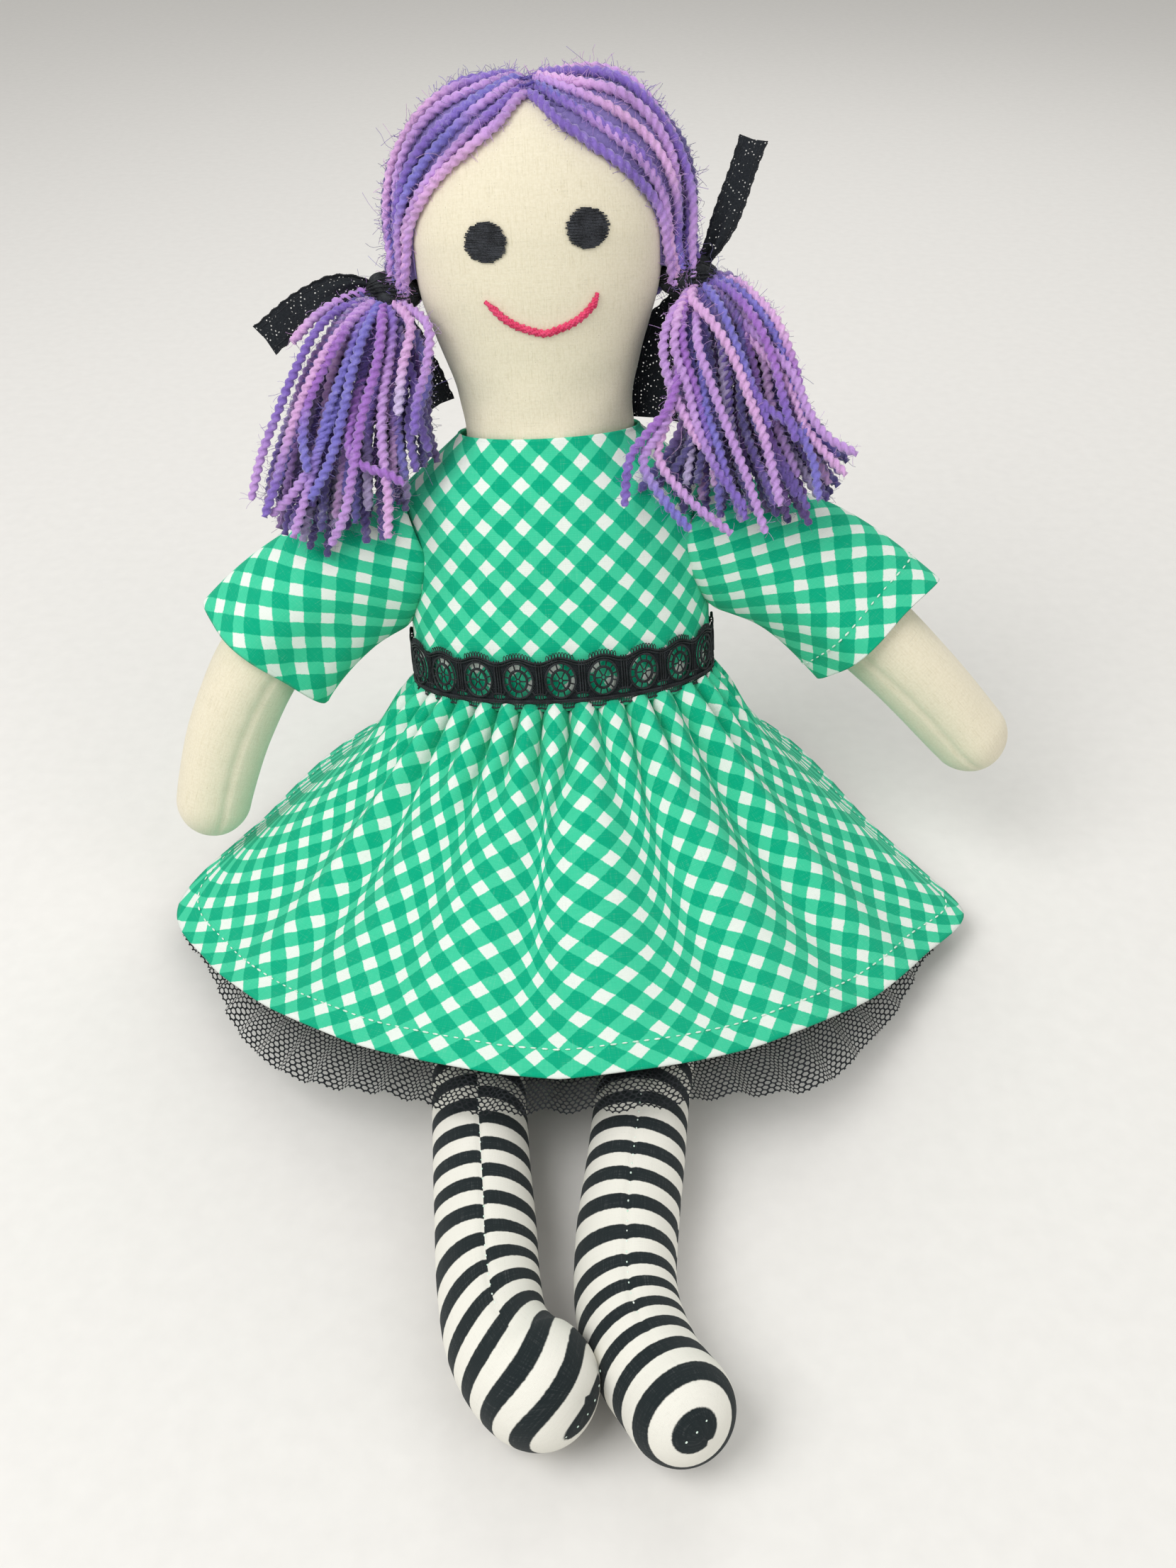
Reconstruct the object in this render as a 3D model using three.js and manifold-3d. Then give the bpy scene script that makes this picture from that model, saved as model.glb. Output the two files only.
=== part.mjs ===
// A sitting rag doll with yarn pigtails, a gingham dress, a net petticoat and striped legs.
// Millimetres, +Z up. The origin is on the floor under the seat and the doll faces -Y.
// Left and right are the doll's own, so its left side is +X.
import * as THREE from "three";
import { mergeVertices } from "three/addons/utils/BufferGeometryUtils.js";
import Module from "manifold-3d";

const wasm = await Module();
wasm.setup();

// Posture of the upper body, in degrees
const LEAN_BACK = 15;
const LEAN_SIDE = 3;

// Clearances between pieces that touch, and the flat that the doll stands on
const SEAM_GAP = 0.35;
const FLAT_DEPTH = 0.5;

// Torso, measured along the leaning upper body
const TORSO_HEIGHT = 206;
const TORSO_WIDTH = 113;
const TORSO_DEPTH = 82;
const SEAT_BULGE = 5;

// Head and neck, one light-bulb form
const NECK_WIDTH = 69;
const NECK_DEPTH = 54;
const HEAD_HEIGHT = 127;
const HEAD_WIDTH = 100;
const HEAD_DEPTH = 73;
const CROWN_HEIGHT = 51;

// Embroidered face, heights above the neck seam
const EYE_DIAMETER = 14.5;
const EYE_SPACING = 38;
const EYE_HEIGHT = 77.5;
const EYE_TILT = 3;
const MOUTH_WIDTH = 42;
const MOUTH_HEIGHT = 43;
const MOUTH_SAG = 11;
const STITCH_WIDTH = 3;
const STITCH_RISE = 0.9;

// Yarn hair: strands laid from the parting to a gather on each side
const HAIR_THICKNESS_LEFT = 16;
const HAIR_THICKNESS_RIGHT = 12;
const PARTING_THICKNESS = 8;
const STRAND_WIDTH = 3.8;
const LOCKS = 12;
const LOCK_RELIEF = 1.1;
const HAIRLINE_ANGLE = -16;
const NAPE_ANGLE = 138;
const FACE_SWEEP = 0.34;
const FACE_SWEEP_WIDTH = 0.35;
const GATHER_HEIGHT = 63;
const GATHER_WIDTH = 19;
const PARTING_GAP = 2.4;

// Lace ribbons round the gathers
const RIBBON_THICKNESS = 1.2;
const RIBBON_LENGTH = 60;
const RIBBON_WIDTH = 17;
const KNOT_RADIUS = 7.5;

// Pigtails
const PIGTAIL_LENGTH = 90;
const PIGTAIL_ROOT_RADIUS = 8.5;
const PIGTAIL_STRAND_RADIUS = 5.2;

// Arms, stuffed tubes sewn in at the shoulders
const ARM_RADIUS = 17.5;
const HAND_RADIUS = 15.5;
const ARM_LENGTH = 155;
const SHOULDER_HEIGHT = 161;

// Legs, striped stuffed tubes with bent round feet
const LEG_RADIUS = 17.5;
const FOOT_RADIUS = 21.5;
const LEG_LENGTH = 245;
const HIP_SPACING = 74;
const HIP_FORWARD = 40;

// Dress
const CLOTH = 1.2;
const WAIST_HEIGHT = 104;
const WAIST_WIDTH = 127;
const WAIST_DEPTH = 88;
const BODICE_LOOSENESS = 9;
const NECKLINE_RISE = 3;
const SLEEVE_LENGTH = 76;
const SLEEVE_WIDTH = 64;
const SLEEVE_DEPTH = 45;
const ARMHOLE_HEIGHT = 52;
const SLEEVE_FOLDS = 5;
const SLEEVE_FOLD_DEPTH = 1.1;
const SASH_HEIGHT = 24.6;
const SASH_THICKNESS = 1.5;
const SASH_MOTIF = 17.4;
const PICOT_DEPTH = 1.6;
const SHOULDER_SEAM_HEIGHT = 187;
const HEM_HEIGHT = 12;
const LAP_HEIGHT = 37;
const FOLD_COUNT = 18;
const FOLD_HEIGHT = 8;
const FOLD_CROWDING = 0.045;
const PETTICOAT_DROP = 4.4;
const PETTICOAT_THICKNESS = 1;
const PETTICOAT_SHOW = 22;
const SKIRT_REACH = 185;

// Back opening of the dress
const PLACKET_WIDTH = 13;
const PLACKET_TOP_MARGIN = 5;
const SNAP_DIAMETER = 7;
const SNAP_THICKNESS = 1.4;

const CALICO = new THREE.MeshStandardMaterial({ color: 0xd8cfb0, roughness: 0.95 });
const GINGHAM = new THREE.MeshStandardMaterial({ color: 0x45c396, roughness: 0.9 });
const NET = new THREE.MeshStandardMaterial({ color: 0x1b2224, roughness: 0.9 });
const LACE = new THREE.MeshStandardMaterial({ color: 0x16191b, roughness: 0.9 });
const YARN = new THREE.MeshStandardMaterial({ color: 0x7a5fb0, roughness: 1 });
const STRIPED = new THREE.MeshStandardMaterial({ color: 0x8a8884, roughness: 0.9 });
const BLACK_THREAD = new THREE.MeshStandardMaterial({ color: 0x2a2b2e, roughness: 0.6 });
const PINK_THREAD = new THREE.MeshStandardMaterial({ color: 0xd8405f, roughness: 0.6 });
const PURPLE_THREAD = new THREE.MeshStandardMaterial({ color: 0x5a4596, roughness: 0.8 });
const STEEL = new THREE.MeshStandardMaterial({ color: 0x9a9c9e, roughness: 0.35, metalness: 1 });

// Facets round the body, the head and what is worn close to them
const BODY_SIDES = 28;

const { degToRad, radToDeg, lerp, clamp, smoothstep } = THREE.MathUtils;
const vector = (x, y, z) => new THREE.Vector3(x, y, z);
const HEAD_TOP = TORSO_HEIGHT + HEAD_HEIGHT;
const CROWN_BASE = HEAD_TOP - CROWN_HEIGHT;
const HEAD_CORE = vector(0, 0, CROWN_BASE);
const EYE_LEVEL = TORSO_HEIGHT + EYE_HEIGHT;

const doll = new THREE.Group();
const upperBody = new THREE.Group();
upperBody.rotation.set(degToRad(-LEAN_BACK), degToRad(-LEAN_SIDE), 0);
doll.add(upperBody);
upperBody.updateMatrixWorld(true);
const leaning = upperBody.matrixWorld;

// Closed solid from a mesh geometry, for cutting and joining
function solid(geometry) {
  const bare = new THREE.BufferGeometry().setAttribute("position", geometry.getAttribute("position"));
  if (geometry.index) bare.setIndex(geometry.index);
  const merged = mergeVertices(bare, 1e-4);
  return new wasm.Manifold(new wasm.Mesh({
    numProp: 3,
    vertProperties: new Float32Array(merged.attributes.position.array),
    triVerts: new Uint32Array(merged.index.array),
  }));
}

function geometryOf(body) {
  const mesh = body.getMesh();
  const geometry = new THREE.BufferGeometry();
  geometry.setAttribute("position", new THREE.BufferAttribute(mesh.vertProperties, 3));
  geometry.setIndex(new THREE.BufferAttribute(mesh.triVerts, 1));
  return geometry;
}

function add(name, body, material, parent = upperBody) {
  const geometry = geometryOf(body);
  geometry.computeVertexNormals();
  const mesh = new THREE.Mesh(geometry, material);
  mesh.name = name;
  parent.add(mesh);
}

// Value at x of a smooth line through rows of [x, value]
function smoothLine(rows, x) {
  const last = rows.length - 1;
  const place = clamp(rows.findIndex((row) => row[0] > x) - 1, 0, last - 1);
  const i = x >= rows[last][0] ? last - 1 : place;
  const slope = (a, b) => (rows[b][1] - rows[a][1]) / (rows[b][0] - rows[a][0]);
  const step = rows[i + 1][0] - rows[i][0];
  const t = clamp((x - rows[i][0]) / step, 0, 1);
  const before = slope(Math.max(i - 1, 0), i + 1) * step;
  const after = slope(i, Math.min(i + 2, last)) * step;
  const rise = rows[i + 1][1] - rows[i][1];
  const ease = t * t * (3 - 2 * t);
  return rows[i][1] + rise * ease + before * t * (1 - t) ** 2 - after * t * t * (1 - t);
}

// Closed skin over rings of points, each ring turning the same way round the line of travel
function skin(rings, ends) {
  const sides = rings[0].length;
  const points = [...rings.flat(), ...ends];
  const faces = [];
  const at = (i, j) => i * sides + (j % sides);
  for (let i = 0; i < rings.length - 1; i++)
    for (let j = 0; j < sides; j++) {
      faces.push(at(i, j), at(i, j + 1), at(i + 1, j + 1));
      faces.push(at(i, j), at(i + 1, j + 1), at(i + 1, j));
    }
  const first = rings.length * sides;
  for (let j = 0; j < sides; j++) {
    faces.push(first, at(0, j + 1), at(0, j));
    faces.push(first + 1, at(rings.length - 1, j), at(rings.length - 1, j + 1));
  }
  const geometry = new THREE.BufferGeometry().setFromPoints(points);
  return geometry.setIndex(faces);
}

// Closed sheet of cloth: a grid of outer points, the same grid inside, and its edges joined.
// The first index runs round the body when `loop` is true, and the second from top to bottom.
function sheet(outer, inner, loop) {
  const columns = outer.length;
  const rows = outer[0].length;
  const points = [...outer.flat(), ...inner.flat()];
  const faces = [];
  const at = (i, j, layer) => layer * columns * rows + (i % columns) * rows + j;
  const quad = (a, b, c, d) => faces.push(a, b, c, a, c, d);
  const spans = loop ? columns : columns - 1;
  for (let i = 0; i < spans; i++) {
    for (let j = 0; j < rows - 1; j++) {
      quad(at(i, j, 0), at(i, j + 1, 0), at(i + 1, j + 1, 0), at(i + 1, j, 0));
      quad(at(i, j, 1), at(i + 1, j, 1), at(i + 1, j + 1, 1), at(i, j + 1, 1));
    }
    quad(at(i, 0, 0), at(i + 1, 0, 0), at(i + 1, 0, 1), at(i, 0, 1));
    quad(at(i, rows - 1, 0), at(i, rows - 1, 1), at(i + 1, rows - 1, 1), at(i + 1, rows - 1, 0));
  }
  for (let j = 0; !loop && j < rows - 1; j++) {
    quad(at(0, j, 0), at(0, j, 1), at(0, j + 1, 1), at(0, j + 1, 0));
    const end = columns - 1;
    quad(at(end, j, 0), at(end, j + 1, 0), at(end, j + 1, 1), at(end, j, 1));
  }
  return new THREE.BufferGeometry().setFromPoints(points).setIndex(faces);
}

// Stuffed tube with round ends along a curve, swelling and tapering by `radiusAt(share of length)`
function stuffedTube({ curve, radiusAt, across, depthShare = 1, sides = 16, steps = 10, capSteps = 4 }) {
  const length = curve.getLength();
  const stations = [];
  const first = radiusAt(0);
  const last = radiusAt(1);
  for (let k = 1; k <= capSteps; k++) {
    const angle = (k / capSteps) * (Math.PI / 2);
    stations.push([(first * (1 - Math.cos(angle))) / length, Math.sin(angle)]);
  }
  const from = first / length;
  const to = 1 - last / length;
  for (let k = 1; k < steps; k++) stations.push([lerp(from, to, k / steps), 1]);
  for (let k = capSteps; k >= 1; k--) {
    const angle = (k / capSteps) * (Math.PI / 2);
    stations.push([1 - (last * (1 - Math.cos(angle))) / length, Math.sin(angle)]);
  }
  const rings = stations.map(([share, scale]) => {
    const centre = curve.getPointAt(share);
    const along = curve.getTangentAt(share);
    const side = across.clone().cross(along).normalize();
    const rise = along.clone().cross(side);
    const radius = radiusAt(share) * scale;
    return ringPoints(centre, side.multiplyScalar(radius), rise.multiplyScalar(radius * depthShare), sides);
  });
  return skin(rings, [curve.getPointAt(0), curve.getPointAt(1)]);
}

function ringPoints(centre, u, v, sides) {
  return Array.from({ length: sides }, (_, j) => {
    const angle = (j / sides) * Math.PI * 2;
    return centre.clone().addScaledVector(u, Math.cos(angle)).addScaledVector(v, Math.sin(angle));
  });
}

// Upright form whose half width, half depth and middle change with height
function uprightForm(heights, sizeAt, sides) {
  const rings = heights.map((z) => {
    const { width, depth, back = 0 } = sizeAt(z);
    return ringPoints(vector(0, back, z), vector(width, 0, 0), vector(0, depth, 0), sides);
  });
  const middle = (z) => vector(0, sizeAt(z).back ?? 0, z);
  return skin(rings, [middle(heights[0]), middle(heights[heights.length - 1])]);
}

const BALL_SIDES = 16;
const ball = (centre, radius, sides = BALL_SIDES) =>
  new THREE.SphereGeometry(radius, sides, sides * 0.75).translate(centre.x, centre.y, centre.z);

// Room for a ball: even the middles of its facets keep the seam gap
const roomFor = (centre, radius) => solid(ball(centre, (radius + SEAM_GAP) / Math.cos(Math.PI / BALL_SIDES)));

// Everything below the floor, as a block
function underFloor() {
  const size = 2 * (TORSO_HEIGHT + HEAD_HEIGHT);
  return solid(new THREE.BoxGeometry(size, size, size).translate(0, 0, -size / 2));
}

const inLeaningFrame = (body) =>
  solid(geometryOf(body).applyMatrix4(leaning.clone().invert()));

// Torso: narrow at the neck seam, widest at the chest, and bulging at the seat
const torsoWidth = (z) => smoothLine([
  [-10, 0.84], [20, 0.95], [60, 1], [110, 0.97], [160, 0.97], [180, 0.94], [195, 0.79], [206, 0.6],
].map(([height, share]) => [(height * TORSO_HEIGHT) / 206, (share * TORSO_WIDTH) / 2]), z);
const torsoDepth = (z) => smoothLine([
  [-10, 0.9], [20, 1.02], [60, 1.02], [110, 0.95], [160, 0.86], [185, 0.76], [206, 0.64],
].map(([height, share]) => [(height * TORSO_HEIGHT) / 206, (share * TORSO_DEPTH) / 2]), z);

function torsoForm(looseness = 0) {
  const bottom = -14;
  const heights = [bottom, 5, 30, 60, 95, 130, 155, 172, 185, 196, TORSO_HEIGHT - SEAM_GAP];
  return uprightForm(heights, (z) => ({
    width: torsoWidth(z) + looseness,
    depth: torsoDepth(z) + looseness,
    back: SEAT_BULGE * (1 - smoothstep(z, 0, WAIST_HEIGHT)),
  }), BODY_SIDES);
}

const hipJoint = (side) => vector((side * HIP_SPACING) / 2, -HIP_FORWARD, LEG_RADIUS - FLAT_DEPTH);
const shoulderX = torsoWidth(SHOULDER_HEIGHT) + ARM_RADIUS - 1;
const shoulderJoint = (side) => vector(side * shoulderX, 0, SHOULDER_HEIGHT);

// Room under the hip for a leg that hangs straight down
function hangingLegRoom(side) {
  const hip = hipJoint(side);
  const radius = (LEG_RADIUS + 2 * SEAM_GAP) / Math.cos(Math.PI / BALL_SIDES);
  const drop = new THREE.CylinderGeometry(radius, radius, 2 * LEG_RADIUS, BALL_SIDES);
  drop.rotateX(Math.PI / 2).translate(hip.x, hip.y, hip.z - LEG_RADIUS);
  return roomFor(hip, LEG_RADIUS).add(solid(drop));
}

function makeTorso() {
  let body = solid(torsoForm()).subtract(inLeaningFrame(underFloor()));
  for (const side of [-1, 1]) {
    body = body.subtract(inLeaningFrame(hangingLegRoom(side)));
    body = body.subtract(roomFor(shoulderJoint(side), ARM_RADIUS));
  }
  add("torso", body, CALICO);
}

// Head: a neck that widens into a round crown
const BULB = [[0, 0], [0.13, 0], [0.27, 0.1], [0.4, 0.29], [0.55, 0.53], [0.75, 0.83], [1, 1]];
function headSize(z, lift = 0) {
  const share = (z - TORSO_HEIGHT) / (CROWN_BASE - TORSO_HEIGHT);
  const widening = smoothLine(BULB, clamp(share, 0, 1));
  const dome = Math.sqrt(Math.max(0, 1 - clamp((z - CROWN_BASE) / (CROWN_HEIGHT + lift), 0, 1) ** 2));
  return {
    width: (lerp(NECK_WIDTH, HEAD_WIDTH, widening) / 2 + lift) * dome,
    depth: (lerp(NECK_DEPTH, HEAD_DEPTH, widening) / 2 + lift) * dome,
  };
}

function headForm(lift = 0) {
  const neckRings = 7;
  const domeRings = 7;
  const heights = [];
  for (let k = 0; k < neckRings; k++)
    heights.push(lerp(TORSO_HEIGHT, CROWN_BASE, k / neckRings));
  for (let k = 0; k < domeRings; k++)
    heights.push(CROWN_BASE + (CROWN_HEIGHT + lift) * Math.sin(((k / domeRings) * Math.PI) / 2));
  const top = HEAD_TOP + lift;
  return uprightForm([...heights, top - 0.15], (z) => headSize(z, lift), BODY_SIDES);
}

// Point over the head's skin, in a direction from the middle of the crown
function overHead(direction, lift) {
  let near = 0;
  let far = HEAD_HEIGHT;
  for (let k = 0; k < 24; k++) {
    const reach = (near + far) / 2;
    const point = HEAD_CORE.clone().addScaledVector(direction, reach);
    const { width, depth } = headSize(point.z);
    const inside = width > 0 && (point.x / width) ** 2 + (point.y / depth) ** 2 < 1;
    if (inside) near = reach;
    else far = reach;
  }
  return HEAD_CORE.clone().addScaledVector(direction, near + lift);
}

// Embroidery: the part of a thin layer over the face that lies behind an outline
function stitched(outline) {
  const layer = solid(headForm(SEAM_GAP + STITCH_RISE)).subtract(solid(headForm(SEAM_GAP)));
  const reach = HEAD_DEPTH;
  const cutter = new THREE.ExtrudeGeometry(outline, { depth: reach, bevelEnabled: false, curveSegments: 12 });
  cutter.rotateX(Math.PI / 2);
  return layer.intersect(solid(cutter));
}

function makeEye(name, side) {
  const level = EYE_LEVEL + (side * EYE_TILT) / 2;
  const outline = new THREE.Shape().absarc((side * EYE_SPACING) / 2 + 1, level, EYE_DIAMETER / 2, 0, Math.PI * 2);
  add(name, stitched(outline), BLACK_THREAD);
}

function makeMouth() {
  const half = MOUTH_WIDTH / 2;
  const top = TORSO_HEIGHT + MOUTH_HEIGHT + MOUTH_SAG;
  const radius = (half * half + MOUTH_SAG * MOUTH_SAG) / (2 * MOUTH_SAG);
  const middle = vector(2, 0, top - MOUTH_SAG + radius);
  const spread = Math.asin(half / radius);
  const outline = new THREE.Shape();
  outline.absarc(middle.x, middle.z, radius + STITCH_WIDTH / 2, -Math.PI / 2 - spread, -Math.PI / 2 + spread);
  outline.absarc(middle.x, middle.z, radius - STITCH_WIDTH / 2, -Math.PI / 2 + spread, -Math.PI / 2 - spread, true);
  add("mouth", stitched(outline), PINK_THREAD);
}

// Hair cap: one side's strands, from the parting down to the gather, in locks
// The strands by the face sweep forward over its upper corners, most of all a quarter of the way down
const FACE_SWEEP_ALONG = [[0, 0], [0.125, 0.8], [0.3, 1], [0.55, 0.6], [0.8, 0.12], [1, 0]];
const gatherSkin = (height) => headSize(TORSO_HEIGHT + height).width;

function strandDirection(side, across, along) {
  const angle = degToRad(lerp(HAIRLINE_ANGLE, NAPE_ANGLE, across));
  const start = vector(0, Math.sin(angle), Math.cos(angle));
  const end = vector(side * gatherSkin(GATHER_HEIGHT), lerp(-0.5, 0.5, across) * GATHER_WIDTH,
    TORSO_HEIGHT + GATHER_HEIGHT - HEAD_CORE.z).normalize();
  const turn = start.angleTo(end);
  const direct = start.multiplyScalar(Math.sin((1 - along) * turn))
    .addScaledVector(end, Math.sin(along * turn))
    .divideScalar(Math.sin(turn));
  const sweep = FACE_SWEEP * smoothLine(FACE_SWEEP_ALONG, along) * Math.max(0, 1 - across / FACE_SWEEP_WIDTH) ** 2;
  return direct.add(vector(0, -sweep, 0)).normalize();
}

function hairCapLift(side, across, along) {
  const thickness = side > 0 ? HAIR_THICKNESS_LEFT : HAIR_THICKNESS_RIGHT;
  const drawnIn = 1 - 0.5 * smoothstep(along, 0.55, 0.9);
  const full = lerp(PARTING_THICKNESS, thickness, smoothstep(along, 0, 0.45) * drawnIn);
  const edge = Math.min(across, 1 - across) * LOCKS;
  const lift = lerp(STRAND_WIDTH, full, smoothstep(edge, 0, 1.6));
  const ridge = Math.sin(across * LOCKS * Math.PI) ** 2;
  return lift - LOCK_RELIEF * (1 - ridge);
}

function makeHairCap(name, side) {
  const perLock = 3;
  const columns = LOCKS * perLock + 1;
  const rows = 9;
  const layer = (liftAt) => Array.from({ length: columns }, (_, i) =>
    Array.from({ length: rows }, (_, j) => {
      const across = i / (columns - 1);
      const along = j / (rows - 1);
      const point = overHead(strandDirection(side, across, along), liftAt(across, along));
      point.x += side * (PARTING_GAP / 2) * (1 - along);
      return point;
    }));
  const outer = layer((across, along) => hairCapLift(side, across, along));
  const inner = layer(() => 4 * SEAM_GAP);
  const grid = side > 0 ? sheet(outer, inner, false) : sheet(outer.reverse(), inner.reverse(), false);
  add(name, solid(grid).subtract(roomFor(knotCentre(side), KNOT_RADIUS)), YARN);
}

// Stitches that hold the strands down along the parting
function makePartingStitch() {
  const steps = 12;
  const radius = PARTING_GAP / 2 - SEAM_GAP;
  const points = Array.from({ length: steps + 1 }, (_, k) => {
    const angle = degToRad(lerp(HAIRLINE_ANGLE, NAPE_ANGLE, k / steps));
    return overHead(vector(0, Math.sin(angle), Math.cos(angle)), SEAM_GAP + radius + 0.35);
  });
  const seam = stuffedTube({
    curve: new THREE.CatmullRomCurve3(points),
    radiusAt: () => radius,
    across: vector(1, 0, 0),
    sides: 6,
    steps: 14,
    capSteps: 2,
  });
  add("parting_stitch", solid(seam), PURPLE_THREAD);
}

// Ribbon knots close under the gathers, beside the jaw
const KNOT_LEVEL = TORSO_HEIGHT + GATHER_HEIGHT - KNOT_RADIUS + 1;
function knotCentre(side) {
  const skinAt = gatherSkin(KNOT_LEVEL - TORSO_HEIGHT);
  return vector(side * (skinAt + KNOT_RADIUS + SEAM_GAP + 0.4), -2, KNOT_LEVEL);
}

function makeKnot(name, side) {
  add(name, solid(ball(knotCentre(side), KNOT_RADIUS)), LACE);
}

// Middle of the gathered root of a pigtail, just under its knot
const PIGTAIL_DROP = vector(0.45, -0.2, -0.87);
function pigtailRoot(side) {
  const reach = KNOT_RADIUS + PIGTAIL_ROOT_RADIUS - 2;
  return knotCentre(side).add(PIGTAIL_DROP.clone().multiply(vector(side, 1, 1)).multiplyScalar(reach));
}

// Ribbon tail along chosen points, flat across the given direction and gathered where it leaves the knot
function ribbonTail(points, across, width) {
  const curve = new THREE.CatmullRomCurve3(points);
  const steps = 7;
  const rings = Array.from({ length: steps + 1 }, (_, k) => {
    const centre = curve.getPointAt(k / steps);
    const along = curve.getTangentAt(k / steps);
    const thin = across.clone().cross(along).normalize();
    const wide = along.clone().cross(thin);
    const gathered = width * lerp(0.4, 1, smoothstep(k / steps, 0, 0.4));
    return ringPoints(centre, thin.multiplyScalar(RIBBON_THICKNESS * 0.6), wide.multiplyScalar(gathered / 2), 6);
  });
  return skin(rings, [points[0], points[points.length - 1]]);
}

// A tail starts inside the knot and is cut by it; its points are shares of its length from the knot's middle
function makeRibbonTail(name, { side, through, across, width }) {
  const knot = knotCentre(side);
  const points = [[0, 0, 0], ...through].map((point) => vector(...point).multiplyScalar(RIBBON_LENGTH).add(knot));
  const root = roomFor(pigtailRoot(side), PIGTAIL_ROOT_RADIUS);
  const clear = roomFor(knot, KNOT_RADIUS).add(root).add(solid(headForm(SEAM_GAP)));
  const parts = solid(ribbonTail(points, vector(...across), width * RIBBON_WIDTH)).subtract(clear).decompose();
  parts.sort((a, b) => b.volume() - a.volume());
  add(name, parts[0], LACE);
}

const RIBBON_TAILS = {
  ribbon_tail_up_left: {
    side: 1,
    through: [[0.225, -0.017, 0.192], [0.367, 0.042, 0.55], [0.475, 0.083, 0.867]],
    across: [1, -0.6, 0],
    width: 0.59,
  },
  ribbon_tail_down_left: {
    side: 1,
    through: [[-0.067, 0.1, -0.2], [-0.183, 0.083, -0.5], [-0.283, 0.067, -0.783]],
    across: [1, -0.5, 0],
    width: 1.0,
  },
  ribbon_tail_out_right: {
    side: -1,
    through: [[-0.2, -0.2, -0.05], [-0.48, -0.36, -0.15], [-0.68, -0.46, -0.27]],
    across: [0, 0.5, 1],
    width: 0.71,
  },
  ribbon_tail_down_right: {
    side: -1,
    through: [[0.083, 0.033, -0.233], [0.183, 0, -0.467], [0.283, -0.017, -0.717]],
    across: [0.5, 1, 0],
    width: 0.59,
  },
};

// Tips of the strands, as shares of the pigtail's length from its knot: outward, back and up
const PIGTAIL_TIPS = {
  left: [
    [0.7, -0.3, -0.7], [0.66, -0.23, -0.8], [0.6, -0.33, -0.89], [0.48, -0.34, -0.96],
    [0.36, -0.36, -1.01], [0.24, -0.37, -0.98], [0.54, -0.24, -0.85], [0.09, -0.39, -1.03],
    [-0.04, -0.4, -0.99], [-0.13, -0.38, -0.78],
  ],
  right: [
    [0.71, -0.29, -0.68], [0.64, -0.31, -0.78], [0.54, -0.33, -0.84], [0.42, -0.34, -0.87],
    [0.29, -0.36, -0.89], [0.17, -0.37, -0.87], [0.52, -0.24, -0.76], [0.05, -0.36, -0.74],
    [-0.06, -0.33, -0.63],
  ],
};

// Pigtails: strands that leave one root under the knot and spread to their tips
function makePigtail(name, side, tips) {
  const root = pigtailRoot(side);
  let body = solid(ball(root, PIGTAIL_ROOT_RADIUS, 12));
  for (const [x, y, z] of tips) {
    const tip = vector(side * x, y, z).multiplyScalar(PIGTAIL_LENGTH).add(knotCentre(side));
    const bow = root.clone().lerp(tip, 0.5).add(vector(side * 7, -5, 6).multiplyScalar(PIGTAIL_LENGTH / 90));
    const strand = stuffedTube({
      curve: new THREE.CatmullRomCurve3([root, bow, tip]),
      radiusAt: (share) => PIGTAIL_STRAND_RADIUS * lerp(0.75, 1, smoothstep(share, 0, 0.6)),
      across: vector(0, 1, 0),
      sides: 5,
      steps: 4,
      capSteps: 2,
    });
    body = body.add(solid(strand));
  }
  const clear = roomFor(knotCentre(side), KNOT_RADIUS).add(solid(headForm(SEAM_GAP)));
  add(name, body.subtract(clear), YARN);
}

// Bodice: loose over the torso, drawn in at the neck, open at neck, waist and armholes
const NECKLINE = TORSO_HEIGHT + NECKLINE_RISE;
function bodiceSize(z, lift) {
  const chest = smoothLine([[WAIST_HEIGHT, 0], [WAIST_HEIGHT + 16, 0], [150, 1], [SHOULDER_SEAM_HEIGHT, 1]], z);
  const shoulder = clamp((z - SHOULDER_SEAM_HEIGHT) / (NECKLINE - SHOULDER_SEAM_HEIGHT), 0, 1);
  const snug = CLOTH + 2 * SEAM_GAP;
  const width = Math.max(WAIST_WIDTH / 2, torsoWidth(z) + BODICE_LOOSENESS * chest);
  const depth = lerp(WAIST_DEPTH / 2, torsoDepth(z) + BODICE_LOOSENESS * 0.5, smoothstep(z, WAIST_HEIGHT, 150));
  return {
    width: Math.max(lerp(width, NECK_WIDTH / 2 + snug, shoulder), torsoWidth(z) + snug) + lift,
    depth: Math.max(lerp(depth, NECK_DEPTH / 2 + snug, shoulder), torsoDepth(z) + snug) + lift,
  };
}

const BODICE_HEIGHTS = [0, 0.17, 0.34, 0.5, 0.63, 0.74, 0.83, 0.9, 0.955, 1];
function bodiceForm(lift, bottom, top) {
  return uprightForm(BODICE_HEIGHTS.map((share) => lerp(bottom, top, share)), (z) => bodiceSize(z, lift), BODY_SIDES);
}

function makeBodice() {
  const outer = solid(bodiceForm(0, WAIST_HEIGHT, NECKLINE));
  const inner = solid(bodiceForm(-CLOTH, WAIST_HEIGHT - 1, NECKLINE + 1));
  let body = outer.subtract(inner);
  for (const side of [-1, 1]) body = body.subtract(roomFor(shoulderJoint(side), ARM_RADIUS + CLOTH));
  const parts = body.decompose();
  parts.sort((a, b) => b.volume() - a.volume());
  add("bodice", parts[0], GINGHAM);
}

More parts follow.
